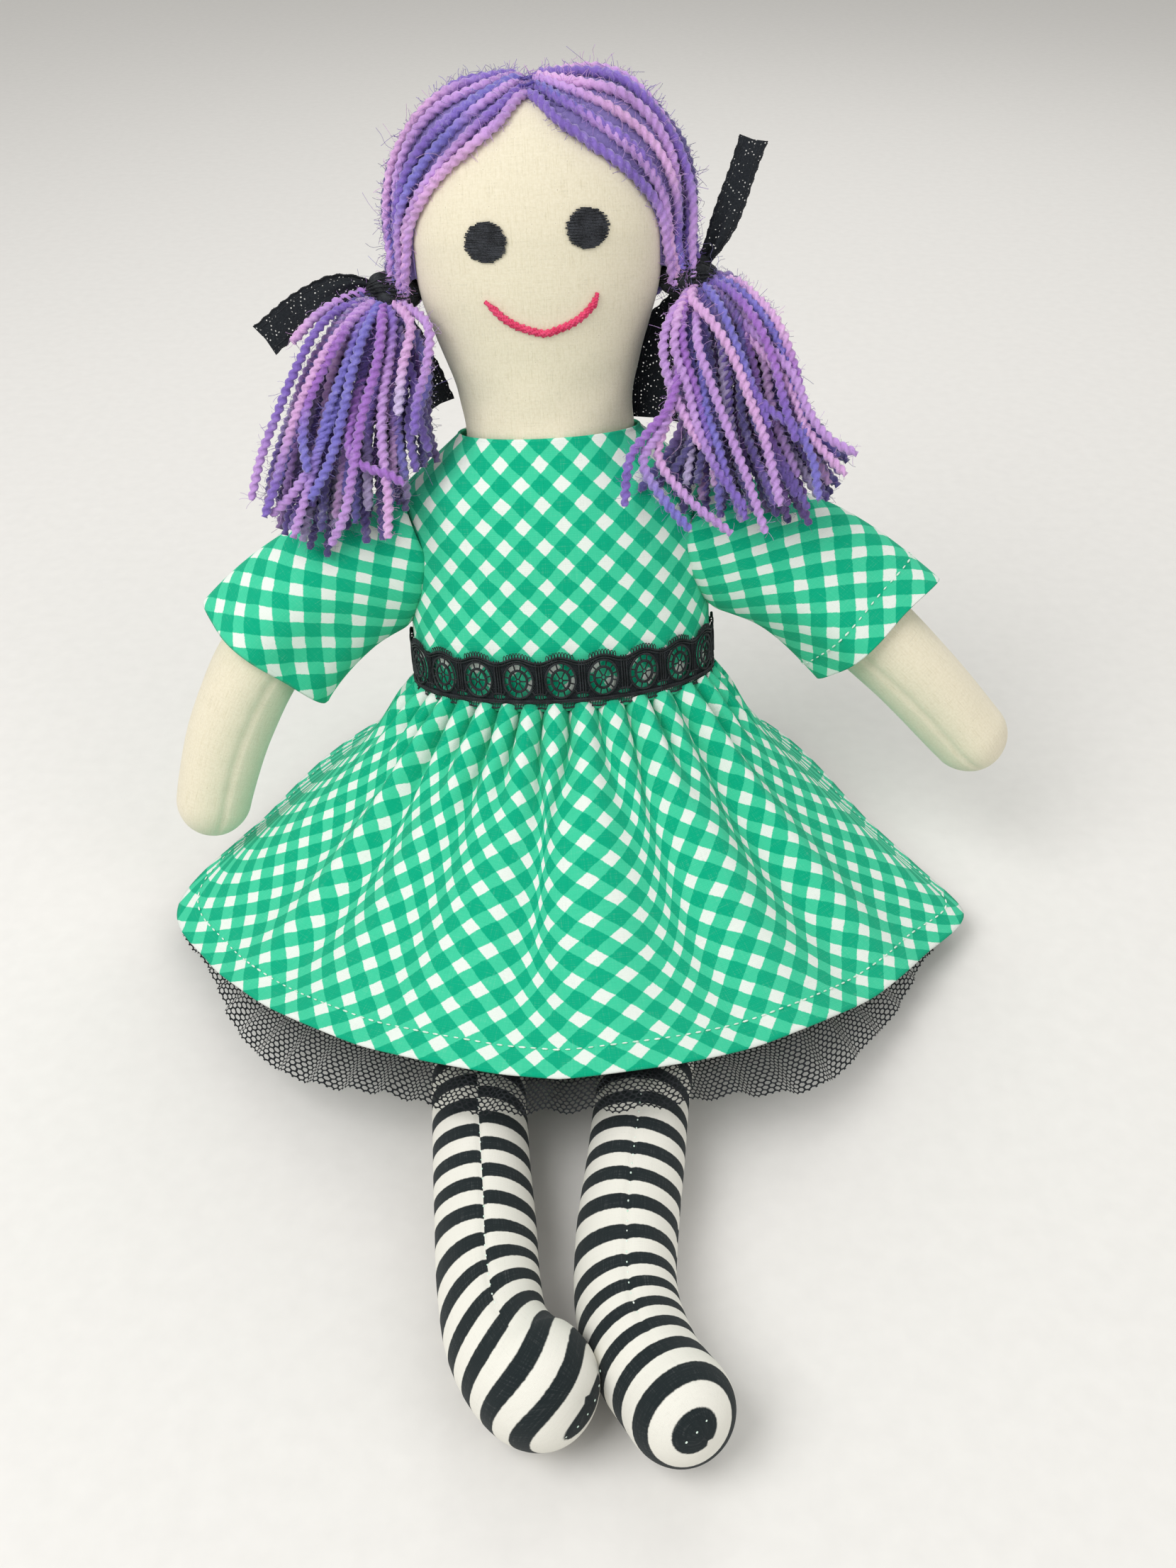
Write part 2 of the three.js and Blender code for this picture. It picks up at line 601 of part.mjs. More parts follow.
// Sleeve: a flared tube of cloth from the armhole to the hem, flattened front to back.
// Its middle, its hem and the way it points on, as shares of its length from the shoulder
const SLEEVES = {
  left: { side: 1, route: [[0.378, -0.026, -0.197], [0.812, -0.066, -0.566], [1.088, -0.118, -0.908]] },
  right: { side: -1, route: [[0.338, -0.026, -0.184], [0.746, -0.066, -0.513], [0.983, -0.118, -0.882]] },
};

function sleeveRing({ side, route }, share, lift) {
  const shoulder = shoulderJoint(side);
  const start = vector(side * (shoulderX - ARM_RADIUS), 0, SHOULDER_HEIGHT + 2);
  const onward = route.map(([x, y, z]) => vector(side * x, y, z).multiplyScalar(SLEEVE_LENGTH).add(shoulder));
  const curve = new THREE.CatmullRomCurve3([start, ...onward]);
  const place = clamp((share * 2) / 3, -0.05, 1);
  const centre = curve.getPoint(Math.max(place, 0));
  const along = curve.getTangent(Math.max(place, 0));
  centre.addScaledVector(along, SLEEVE_LENGTH * Math.min(place, 0));
  const wide = lerp(ARMHOLE_HEIGHT, SLEEVE_WIDTH, clamp(share, 0, 1)) / 2 + lift;
  const deep = SLEEVE_DEPTH / 2 + lift;
  const up = vector(0, 1, 0).cross(along).normalize();
  const back = along.clone().cross(up);
  const sides = 20;
  return ringPoints(centre, up.multiplyScalar(wide), back.multiplyScalar(deep), sides).map((point, j) => {
    const fold = Math.cos((j / sides) * Math.PI * 2 * SLEEVE_FOLDS) * SLEEVE_FOLD_DEPTH * share;
    return point.add(point.clone().sub(centre).normalize().multiplyScalar(fold));
  });
}

function sleeveForm(sleeve, lift, from, to) {
  const shares = Array.from({ length: 6 }, (_, k) => lerp(from, to, k / 5));
  const rings = shares.map((share) => sleeveRing(sleeve, share, lift));
  const middle = (ring) => ring.reduce((sum, p) => sum.add(p), vector(0, 0, 0)).divideScalar(ring.length);
  return skin(rings, [middle(rings[0]), middle(rings[rings.length - 1])]);
}

function makeSleeve(name, sleeve) {
  const tube = solid(sleeveForm(sleeve, 0, 0, 1)).subtract(solid(sleeveForm(sleeve, -CLOTH, -0.05, 1.05)));
  const seated = tube.subtract(solid(bodiceForm(SEAM_GAP, WAIST_HEIGHT, NECKLINE)));
  const parts = seated.decompose();
  parts.sort((a, b) => b.volume() - a.volume());
  add(name, parts[0], GINGHAM);
}

// The arm's way from the shoulder to the hand, as shares of its length: outward, back and up
const ARM_ROUTES = {
  left: [
    [0.198, -0.019, -0.116], [0.392, -0.039, -0.284], [0.547, -0.058, -0.445],
    [0.65, -0.071, -0.568], [0.734, -0.084, -0.671],
  ],
  right: [
    [0.192, -0.019, -0.123], [0.359, -0.039, -0.258], [0.472, -0.065, -0.439],
    [0.54, -0.09, -0.616], [0.582, -0.103, -0.768],
  ],
};

// Arm: a tapered stuffed tube from the shoulder to a round hand
function makeArm(name, side, route) {
  const shoulder = shoulderJoint(side);
  const onward = route.map(([x, y, z]) => vector(side * x, y, z).multiplyScalar(ARM_LENGTH).add(shoulder));
  const outward = onward[0].clone().sub(shoulder).normalize();
  const start = shoulder.clone().addScaledVector(outward, -ARM_RADIUS);
  const curve = new THREE.CatmullRomCurve3([start, shoulder, ...onward]);
  const swell = [[0, ARM_RADIUS], [0.15, ARM_RADIUS], [0.4, ARM_RADIUS + 0.9], [0.65, ARM_RADIUS + 0.4], [1, HAND_RADIUS]];
  const tube = stuffedTube({
    curve,
    radiusAt: (share) => smoothLine(swell, share),
    across: vector(0, 1, 0),
    sides: 14,
    steps: 8,
  });
  add(name, solid(tube), CALICO);
}

// The leg's way from the hip to the toes, as shares of its length: to +X, back and up
const LEG_ROUTES = {
  left: [
    [-0.016, -0.204, 0.001], [-0.047, -0.429, 0.001], [-0.076, -0.673, 0.002],
    [-0.075, -0.792, 0.005], [-0.053, -0.861, 0.012], [-0.022, -0.914, 0.02],
    [0.016, -0.984, 0.049],
  ],
  right: [
    [-0.008, -0.204, 0.001], [0.004, -0.429, 0.001], [0.024, -0.633, 0.001],
    [0.035, -0.743, 0.003], [0.049, -0.829, 0.011], [0.082, -0.886, 0.02],
    [0.147, -0.935, 0.057],
  ],
};

// Leg: a stuffed tube on the floor, from the hip to a round foot that turns up and aside
function makeLeg(name, side, route) {
  const hip = hipJoint(side);
  const tip = vector(hip.x, hip.y + LEG_RADIUS, hip.z);
  const points = [tip, hip, ...route.map((point) => vector(...point).multiplyScalar(LEG_LENGTH).add(hip))];
  const curve = new THREE.CatmullRomCurve3(points, false, "centripetal");
  const swell = [[0, LEG_RADIUS], [0.4, LEG_RADIUS + 0.3], [0.82, LEG_RADIUS], [0.92, FOOT_RADIUS - 1.5], [1, FOOT_RADIUS]];
  const tube = stuffedTube({
    curve,
    radiusAt: (share) => smoothLine(swell, share),
    across: vector(0, 0, 1),
    sides: 14,
    steps: 13,
    capSteps: 4,
  });
  add(name, solid(tube).subtract(underFloor()), STRIPED, doll);
}

// Lace sash round the waist, with a picot edge along its top
function makeSash() {
  const lift = SEAM_GAP + SASH_THICKNESS;
  const around = Math.PI * (WAIST_WIDTH / 2 + WAIST_DEPTH / 2 + lift);
  const motifs = Math.round(around / SASH_MOTIF);
  const columns = motifs * 4;
  const layer = (grow) => Array.from({ length: columns }, (_, i) => {
    const angle = (i / columns) * Math.PI * 2;
    const picot = i % 4 < 3 ? PICOT_DEPTH * (i % 2) : 0;
    const rim = vector((WAIST_WIDTH / 2 + grow) * Math.cos(angle), (WAIST_DEPTH / 2 + grow) * Math.sin(angle), 0);
    return [
      rim.clone().setZ(WAIST_HEIGHT + SASH_HEIGHT - PICOT_DEPTH + picot),
      rim.clone().setZ(WAIST_HEIGHT),
    ];
  });
  const band = sheet(layer(lift), layer(SEAM_GAP + 0.1), true);
  const clear = solid(bodiceForm(SEAM_GAP, WAIST_HEIGHT - 1, NECKLINE));
  add("lace_sash", solid(band).subtract(clear), LACE);
}

// Skirt and petticoat: a gathered sheet that falls from the waist over the lap and the floor
// Distance of the hem from the middle of the waist, as a share of the skirt's reach, by degrees from the front
const HEM_OUTLINE = [
  [0, 1], [38, 0.947], [58, 0.957], [72, 0.979], [83, 0.856], [94, 0.77], [110, 0.727], [145, 0.717], [180, 0.717],
];

const fromFront = (angle) => {
  const turn = radToDeg(angle) + 90;
  return Math.abs(((turn + 540) % 360) - 180);
};

// 1 over the middle of the lap, falling to 0 beside the thighs
const frontShare = (angle) => Math.cos(degToRad(Math.min(1.15 * fromFront(angle), 90))) ** 2;

// Height of the folds, as a share of the greatest, from the waist to the hem
const FOLD_GROWTH = [[0, 0], [0.2, 0.7], [0.4, 1], [0.7, 0.75], [1, 0.35]];

// Angle round the waist at a turn of the folds, which crowd together in three places
const roundWaist = (turn) => turn - FOLD_CROWDING * Math.sin(3 * turn);

function drape(turn, share) {
  const angle = roundWaist(turn);
  const rim = vector((WAIST_WIDTH / 2) * Math.cos(angle), (WAIST_DEPTH / 2) * Math.sin(angle), WAIST_HEIGHT - SEAM_GAP);
  const waist = rim.applyMatrix4(leaning);
  const centre = vector(0, 0, WAIST_HEIGHT).applyMatrix4(leaning);
  const reach = SKIRT_REACH * smoothLine(HEM_OUTLINE, fromFront(angle));
  const outward = vector(Math.cos(angle), Math.sin(angle), 0);
  const hem = vector(centre.x, centre.y, 0).addScaledVector(outward, reach);
  const hemZ = HEM_HEIGHT + LAP_HEIGHT * frontShare(angle);
  const settle = lerp(1.2, 1.55, frontShare(angle));
  const fall = Math.sign(1 - share) * Math.abs(1 - share) ** settle;
  const fold = (FOLD_HEIGHT / 2) * smoothLine(FOLD_GROWTH, share) * Math.cos(turn * FOLD_COUNT);
  const point = waist.clone().lerp(hem, share).addScaledVector(outward, fold * lerp(0.8, 0.1, share));
  return point.setZ(hemZ + (waist.z - hemZ) * fall + fold * lerp(0.6, 1, share));
}

// Cloth parallel to the drape: `depthAt` is how far its outer face lies inside the skirt's outer face
function gatheredSheet({ thickness, reachShare, depthAt }) {
  const columns = 4 * FOLD_COUNT;
  const rows = 5;
  const step = 1e-3;
  const grid = (layer) => Array.from({ length: columns }, (_, i) =>
    Array.from({ length: rows + 1 }, (_, j) => {
      const turn = (i / columns) * Math.PI * 2;
      const share = (j / rows) * reachShare(roundWaist(turn));
      const point = drape(turn, share);
      const round = drape(turn + step, share).sub(point);
      const down = drape(turn, share + step).sub(point);
      const normal = down.cross(round).normalize();
      return point.addScaledVector(normal, -depthAt(roundWaist(turn), share) - layer * thickness);
    }));
  return sheet(grid(0), grid(1), true);
}

function makeSkirt() {
  const cloth = gatheredSheet({ thickness: CLOTH, reachShare: () => 1, depthAt: () => 0 });
  add("skirt", solid(cloth), GINGHAM, doll);
}

// How far the net shows past the hem, as a share of the skirt's fall: most beside the thighs
const petticoatShow = (angle) => (PETTICOAT_SHOW / SKIRT_REACH) *
  smoothLine([[0, 0.73], [18, 0.95], [34, 1.3], [44, 0.9], [54, 0.3], [64, 0], [180, 0]], fromFront(angle));

function makePetticoat() {
  const net = gatheredSheet({
    thickness: PETTICOAT_THICKNESS,
    reachShare: (angle) => 1 + petticoatShow(angle),
    depthAt: (angle, share) => lerp(CLOTH + SEAM_GAP, PETTICOAT_DROP * lerp(0.8, 1, frontShare(angle)),
      smoothstep(share, 0, 0.3)),
  });
  add("petticoat", solid(net), NET, doll);
}

// Back opening: an overlapping strip down the middle of the back, held by two press studs under it
function makeBackOpening() {
  const bottom = WAIST_HEIGHT + SASH_HEIGHT + 2;
  const top = NECKLINE - PLACKET_TOP_MARGIN;
  const studs = [0.2, 0.8].map((share) => lerp(bottom, top, share));
  const raised = SEAM_GAP * 2 + SNAP_THICKNESS;
  const layer = solid(bodiceForm(raised + CLOTH, WAIST_HEIGHT, NECKLINE))
    .subtract(solid(bodiceForm(raised, WAIST_HEIGHT, NECKLINE)));
  const strip = new THREE.BoxGeometry(PLACKET_WIDTH, WAIST_DEPTH, top - bottom);
  strip.translate(0, WAIST_DEPTH / 2, (top + bottom) / 2);
  add("back_placket", layer.intersect(solid(strip)), GINGHAM);
  const under = solid(bodiceForm(SEAM_GAP + SNAP_THICKNESS, WAIST_HEIGHT, NECKLINE))
    .subtract(solid(bodiceForm(SEAM_GAP, WAIST_HEIGHT, NECKLINE)));
  ["press_stud_lower", "press_stud_upper"].forEach((name, k) => {
    const disc = new THREE.CylinderGeometry(SNAP_DIAMETER / 2, SNAP_DIAMETER / 2, WAIST_DEPTH, 20);
    disc.translate(0, WAIST_DEPTH / 2, studs[k]);
    add(name, under.intersect(solid(disc)), STEEL);
  });
}

makeTorso();
add("head", solid(headForm()), CALICO);
makeEye("eye_left", 1);
makeEye("eye_right", -1);
makeMouth();
makeHairCap("hair_cap_left", 1);
makeHairCap("hair_cap_right", -1);
makePartingStitch();
makeKnot("ribbon_knot_left", 1);
makeKnot("ribbon_knot_right", -1);
for (const [name, tail] of Object.entries(RIBBON_TAILS)) makeRibbonTail(name, tail);
makePigtail("pigtail_left", 1, PIGTAIL_TIPS.left);
makePigtail("pigtail_right", -1, PIGTAIL_TIPS.right);
makeBodice();
makeBackOpening();
makeSleeve("sleeve_left", SLEEVES.left);
makeSleeve("sleeve_right", SLEEVES.right);
makeArm("arm_left", 1, ARM_ROUTES.left);
makeArm("arm_right", -1, ARM_ROUTES.right);
makeLeg("leg_left", 1, LEG_ROUTES.left);
makeLeg("leg_right", -1, LEG_ROUTES.right);
makeSash();
makeSkirt();
makePetticoat();

export default doll;
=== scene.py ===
import math

import bpy
import numpy as np
from mathutils import Matrix, Vector


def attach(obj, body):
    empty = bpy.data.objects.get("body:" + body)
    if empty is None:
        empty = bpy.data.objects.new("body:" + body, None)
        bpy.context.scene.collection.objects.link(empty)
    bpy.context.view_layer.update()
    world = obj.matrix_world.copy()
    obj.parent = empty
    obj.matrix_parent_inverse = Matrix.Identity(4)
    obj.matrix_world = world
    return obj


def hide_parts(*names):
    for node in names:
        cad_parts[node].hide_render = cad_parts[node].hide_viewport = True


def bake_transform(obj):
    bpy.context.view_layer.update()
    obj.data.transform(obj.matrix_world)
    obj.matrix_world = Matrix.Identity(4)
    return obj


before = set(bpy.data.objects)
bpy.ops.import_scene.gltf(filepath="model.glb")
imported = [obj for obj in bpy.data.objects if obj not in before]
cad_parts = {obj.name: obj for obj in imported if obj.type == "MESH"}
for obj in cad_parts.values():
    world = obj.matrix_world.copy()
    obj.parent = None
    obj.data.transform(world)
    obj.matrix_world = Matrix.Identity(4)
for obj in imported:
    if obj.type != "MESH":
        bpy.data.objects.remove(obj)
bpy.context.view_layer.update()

MM = 0.001

# Posture of the upper body
LEAN_BACK = math.radians(15)
LEAN_SIDE = math.radians(3)
LEAN = Matrix.Rotation(-LEAN_BACK, 3, "X") @ Matrix.Rotation(-LEAN_SIDE, 3, "Y")
LEANING = np.array(LEAN)
# Upper body seen along the camera: how much of its upright and of its backward way shows as height
VIEW_ANGLE = math.radians(23)
VIEW_LEAN = (math.cos(VIEW_ANGLE), math.sin(VIEW_ANGLE))

# Camera, in metres and degrees
CAMERA_PLACE = (0.005, -0.502, 0.451)
CAMERA_LENS = 32
CAMERA_SENSOR = 34.6
CAMERA_DOWN = 38

# Torso and head, measured along the leaning upper body
TORSO_HEIGHT = 206
TORSO_WIDTH = 113
TORSO_DEPTH = 82
SEAT_BULGE = 5
NECK_WIDTH = 69
NECK_DEPTH = 54
HEAD_HEIGHT = 127
HEAD_WIDTH = 100
HEAD_DEPTH = 73
CROWN_HEIGHT = 51
CROWN_BASE = TORSO_HEIGHT + HEAD_HEIGHT - CROWN_HEIGHT
HEAD_TOP = TORSO_HEIGHT + HEAD_HEIGHT

# Face
EYE_WIDTH = 15.4
EYE_HEIGHT = 14.2
EYE_SPACING = 38
EYE_LEVEL = TORSO_HEIGHT + 77.5
EYE_TILT = 3
MOUTH_WIDTH = 42
MOUTH_TOP = TORSO_HEIGHT + 55.5
MOUTH_SAG = 12
FACE_SHIFT = 1

# Hair
HAIRLINE_ANGLE = math.radians(-16)
NAPE_ANGLE = math.radians(138)
GATHER_HEIGHT = 63
GATHER_WIDTH = 19
PARTING_LIFT = 8
HAIR_LIFT = {1: 16, -1: 12}
FACE_SWEEP = 0.34
FACE_SWEEP_WIDTH = 0.35
FACE_SWEEP_ALONG = [(0, 0), (0.125, 0.8), (0.3, 1), (0.55, 0.6), (0.8, 0.12), (1, 0)]
PARTING_GAP = 2.4
STRANDS = 44
YARN_RADIUS = 1.85
KNOT_RADIUS = 7.5
KNOT_LEVEL = TORSO_HEIGHT + GATHER_HEIGHT - KNOT_RADIUS + 1
KNOT_PULL = 5
RIBBON_LENGTH = 60
RIBBON_WIDTH = 17

# Limbs
ARM_RADIUS = 17.5
HAND_RADIUS = 15.5
ARM_LENGTH = 155
SHOULDER_HEIGHT = 161
LEG_RADIUS = 17.5
FOOT_RADIUS = 21.5
LEG_LENGTH = 245
HIP_SPACING = 74
HIP_FORWARD = 40
HIP_HEIGHT = 17
STRIPE_PAIR = 11.5

# Dress
CLOTH = 0.7
WAIST_HEIGHT = 104
WAIST_WIDTH = 127
WAIST_DEPTH = 88
BODICE_LOOSENESS = 9
NECKLINE = TORSO_HEIGHT + 3
SHOULDER_SEAM = 187
SLEEVE_LENGTH = 76
SLEEVE_WIDTH = 64
SLEEVE_DEPTH = 45
ARMHOLE_HEIGHT = 52
SASH_HEIGHT = 24.6
SASH_MOTIF = 17.4
SKIRT_REACH = 185
SKIRT_WIDTH = 830
HEM_HEIGHT = 12
LAP_HEIGHT = 37
FOLD_COUNT = 18
FOLD_HEIGHT = 8
FOLD_CROWDING = 0.045
PETTICOAT_SHOW = 22
PETTICOAT_DROP = 4.6
STITCH_LINE = 9
CHECK_PERIOD = 11.4
CHECK_DARK = 6.35


def smoothstep(value, start, end):
    t = np.clip((np.asarray(value, float) - start) / (end - start), 0, 1)
    return t * t * (3 - 2 * t)


def lerp(a, b, t):
    return a + (b - a) * t


def smooth_line(rows, x):
    """Values at x of a smooth line through rows of (x, value)"""
    xs, ys = np.asarray(rows, float).T
    x = np.asarray(x, float)
    last = len(xs) - 1
    i = np.clip(np.searchsorted(xs, x, side="right") - 1, 0, last - 1)
    step = xs[i + 1] - xs[i]
    t = np.clip((x - xs[i]) / step, 0, 1)
    low, high = np.maximum(i - 1, 0), np.minimum(i + 2, last)
    before = (ys[i + 1] - ys[low]) / (xs[i + 1] - xs[low]) * step
    after = (ys[high] - ys[i]) / (xs[high] - xs[i]) * step
    ease = t * t * (3 - 2 * t)
    return ys[i] + (ys[i + 1] - ys[i]) * ease + before * t * (1 - t) ** 2 - after * t * t * (1 - t)


def leaned(points):
    """Points of the leaning upper body, in the doll's own frame"""
    return np.asarray(points, float) @ LEANING.T


def unit(vectors):
    vectors = np.asarray(vectors, float)
    return vectors / np.maximum(np.linalg.norm(vectors, axis=-1, keepdims=True), 1e-9)


def ripple(*places, seed=1, waves=5, low=0.5, high=2.0):
    """Smooth seeded waviness between about -1 and 1, over any coordinates"""
    dice = np.random.default_rng(seed)
    total = 0
    for _ in range(waves):
        phase = dice.uniform(0, 2 * math.pi)
        for place in places:
            phase = phase + np.asarray(place) * dice.uniform(low, high) * dice.choice([-1, 1])
        total = total + np.sin(phase)
    return total / waves * 1.4


class Route:
    """Smooth centripetal line through points, with places given as shares of its length"""

    def __init__(self, points, steps=40):
        given = np.asarray(points, float)
        ends = [2 * given[0] - given[1], 2 * given[-1] - given[-2]]
        rows = np.vstack([ends[0], given, ends[1]])
        self.pieces = len(given) - 1
        self.rows = rows
        self.t = np.linspace(0, 1, self.pieces * steps + 1)
        self.points = self.at_knot(self.t)
        gone = np.linalg.norm(np.diff(self.points, axis=0), axis=1)
        self.gone = np.concatenate([[0], np.cumsum(gone)])
        self.length = self.gone[-1]

    def at_knot(self, t):
        """Points by share of the spans between the given points"""
        place = np.clip(np.asarray(t, float), 0, 1) * self.pieces
        i = np.minimum(place.astype(int), self.pieces - 1)
        w = (place - i)[..., None]
        p0, p1, p2, p3 = (self.rows[i + k] for k in range(4))
        d0, d1, d2 = (
            np.maximum(np.linalg.norm(b - a, axis=-1, keepdims=True) ** 0.5, 1e-3)
            for a, b in ((p0, p1), (p1, p2), (p2, p3))
        )
        m1 = ((p1 - p0) / d0 - (p2 - p0) / (d0 + d1) + (p2 - p1) / d1) * d1
        m2 = ((p2 - p1) / d1 - (p3 - p1) / (d1 + d2) + (p3 - p2) / d2) * d1
        bend = -3 * p1 + 3 * p2 - 2 * m1 - m2
        twist = 2 * p1 - 2 * p2 + m1 + m2
        return p1 + m1 * w + bend * w**2 + twist * w**3

    def at(self, share):
        t = np.interp(np.asarray(share, float) * self.length, self.gone, self.t)
        return self.at_knot(t)

    def along(self, share):
        share = np.asarray(share, float)
        step = 0.002
        return unit(self.at(np.minimum(share + step, 1)) - self.at(np.maximum(share - step, 0)))


# ---- meshes


def link(name, mesh):
    obj = bpy.data.objects.new(name, mesh)
    bpy.context.scene.collection.objects.link(obj)
    return obj


def make_mesh(name, points, faces, corners, material):
    """Object from points in millimetres, faces, and one UV place in millimetres for each corner"""
    mesh = bpy.data.meshes.new(name)
    mesh.from_pydata((np.asarray(points) * MM).tolist(), [], faces)
    layer = mesh.uv_layers.new(name="cloth")
    layer.data.foreach_set("uv", np.asarray(corners, np.float32).ravel())
    mesh.polygons.foreach_set("use_smooth", [True] * len(mesh.polygons))
    mesh.materials.append(material)
    mesh.update()
    return link(name, mesh)


def grid_object(name, grid, uv, material, closed=True, flip=False, ends=None, keep=None):
    """Cloth over a grid of rows along the piece and columns round it.
    A closed grid has one more column of UV places than of points. `ends` closes it with two poles."""
    rows, columns = grid.shape[:2]
    spans = columns if closed else columns - 1
    i, j = (m.ravel() for m in np.meshgrid(np.arange(rows - 1), np.arange(spans), indexing="ij"))
    if keep is not None:
        chosen = keep[i, j]
        i, j = i[chosen], j[chosen]
    k = (j + 1) % columns
    faces = np.stack([i * columns + j, i * columns + k, (i + 1) * columns + k, (i + 1) * columns + j], 1)
    corners = np.stack([uv[i, j], uv[i, j + 1], uv[i + 1, j + 1], uv[i + 1, j]], 1)
    if flip:
        faces, corners = faces[:, ::-1], corners[:, ::-1]
    points = grid.reshape(-1, 3)
    faces, corners = faces.tolist(), corners.reshape(-1, 2)
    if ends is not None:
        points = np.vstack([points, ends])
        more = []
        for pole, row, turned in ((len(points) - 2, 0, True), (len(points) - 1, rows - 1, False)):
            for c in range(spans):
                face = [row * columns + c, row * columns + (c + 1) % columns, pole]
                place = [uv[row, c], uv[row, c + 1], (uv[row, c] + uv[row, c + 1]) / 2]
                if turned != flip:
                    face, place = face[::-1], place[::-1]
                faces.append(face)
                more += place
        corners = np.vstack([corners, more])
    return make_mesh(name, points, faces, corners, material)


def around(columns):
    return np.linspace(0, 2 * math.pi, columns, endpoint=False)


def rounded(values):
    """Values of a closed grid with the first column again after the last"""
    return np.concatenate([values, values[:, :1]], 1)


def row_lengths(grid):
    """Distance gone round each row of a closed grid"""
    steps = np.linalg.norm(np.diff(rounded(grid), axis=1), axis=2)
    return np.concatenate([np.zeros((len(grid), 1)), np.cumsum(steps, 1)], 1)


def column_lengths(grid):
    steps = np.linalg.norm(np.diff(grid, axis=0), axis=2)
    return np.concatenate([np.zeros((1, grid.shape[1])), np.cumsum(steps, 0)], 0)


def normals_of(grid, closed=True):
    """Outward directions of a grid whose rows go down and whose columns go anticlockwise from above"""
    if closed:
        across = np.roll(grid, -1, 1) - np.roll(grid, 1, 1)
    else:
        across = np.gradient(grid, axis=1)
    return unit(np.cross(np.gradient(grid, axis=0), across))


def thicken(obj, thickness, offset=-1.0):
    solid = obj.modifiers.new("thickness", "SOLIDIFY")
    solid.thickness = thickness * MM
    solid.offset = offset
    return obj


def evaluated_mesh(obj):
    """Plain mesh of an object with its modifiers worked in"""
    graph = bpy.context.evaluated_depsgraph_get()
    return bpy.data.meshes.new_from_object(
        obj.evaluated_get(graph), preserve_all_data_layers=True, depsgraph=graph
    )


def settled(obj):
    """Same object with its modifiers worked into its mesh"""
    mesh = evaluated_mesh(obj)
    obj.modifiers.clear()
    obj.data = mesh
    return obj


def wear(obj, body, slot, *nodes):
    """The piece rides on a body and stands for nodes of the frame, which it hides; `slot` is not used"""
    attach(obj, body)
    if nodes:
        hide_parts(*nodes)
    return obj


# ---- node trees


class Wires:
    """Makes the nodes of one tree. A socket given as a value is linked, and a plain value is set."""

    def __init__(self, tree):
        self.tree = tree

    def __call__(self, kind, values=None, **settings):
        node = self.tree.nodes.new(kind)
        for name, value in settings.items():
            setattr(node, name, value)
        for key, value in (values or {}).items():
            if isinstance(value, bpy.types.NodeSocket):
                self.tree.links.new(value, node.inputs[key])
            else:
                node.inputs[key].default_value = value
        return node

    def shape(self, kind, values=None, **settings):
        """First output of a new geometry node"""
        return self("GeometryNode" + kind, values, **settings).outputs[0]

    def math(self, operation, *values):
        return self("ShaderNodeMath", dict(enumerate(values)), operation=operation).outputs[0]

    def plus(self, first, second):
        return self.math("ADD", first, second)

    def minus(self, first, second):
        return self.math("SUBTRACT", first, second)

    def times(self, first, second):
        return self.math("MULTIPLY", first, second)

    def over(self, first, second):
        return self.math("DIVIDE", first, second)

    def ramp(self, value, start, end, low=0.0, high=1.0):
        """Smooth step of a value from one level to another"""
        node = self(
            "ShaderNodeMapRange",
            {"Value": value, "From Min": start, "From Max": end, "To Min": low, "To Max": high},
            interpolation_type="SMOOTHSTEP",
        )
        return node.outputs["Result"]

    def vector(self, operation, *values, out=0):
        return self("ShaderNodeVectorMath", dict(enumerate(values)), operation=operation).outputs[out]

    def blend(self, share, first, second):
        return self("ShaderNodeMix", {0: share, 6: first, 7: second}, data_type="RGBA").outputs[2]

    def noise(self, place, scale, detail=2.0, roughness=0.5):
        values = {"Vector": place, "Scale": scale, "Detail": detail, "Roughness": roughness}
        return self("ShaderNodeTexNoise", values).outputs["Fac"]

    def split(self, vector):
        return self("ShaderNodeSeparateXYZ", {0: vector}).outputs

    def join(self, x=0.0, y=0.0, z=0.0):
        return self("ShaderNodeCombineXYZ", {0: x, 1: y, 2: z}).outputs[0]


def node_group(name, kind, inputs, outputs, fill):
    """Group of nodes with named sockets; `fill` gets its wires and inputs and returns its outputs"""
    tree = bpy.data.node_groups.new(name, kind)
    for title, (socket, value) in inputs.items():
        item = tree.interface.new_socket(title, in_out="INPUT", socket_type=socket)
        if value is not None:
            item.default_value = value
    for title, socket in outputs.items():
        tree.interface.new_socket(title, in_out="OUTPUT", socket_type=socket)
    wires = Wires(tree)
    given = wires("NodeGroupInput").outputs
    wires("NodeGroupOutput", fill(wires, given))
    return tree


FLOAT, VECTOR, COLOUR = "NodeSocketFloat", "NodeSocketVector", "NodeSocketColor"
GEOMETRY, MATERIAL, WHOLE = "NodeSocketGeometry", "NodeSocketMaterial", "NodeSocketInt"


def srgb(code):
    """Linear colour of a six-digit colour code"""
    parts = [int(code[k : k + 2], 16) / 255 for k in (0, 2, 4)]
    return tuple(c / 12.92 if c <= 0.04045 else ((c + 0.055) / 1.055) ** 2.4 for c in parts) + (1.0,)


# ---- shader groups


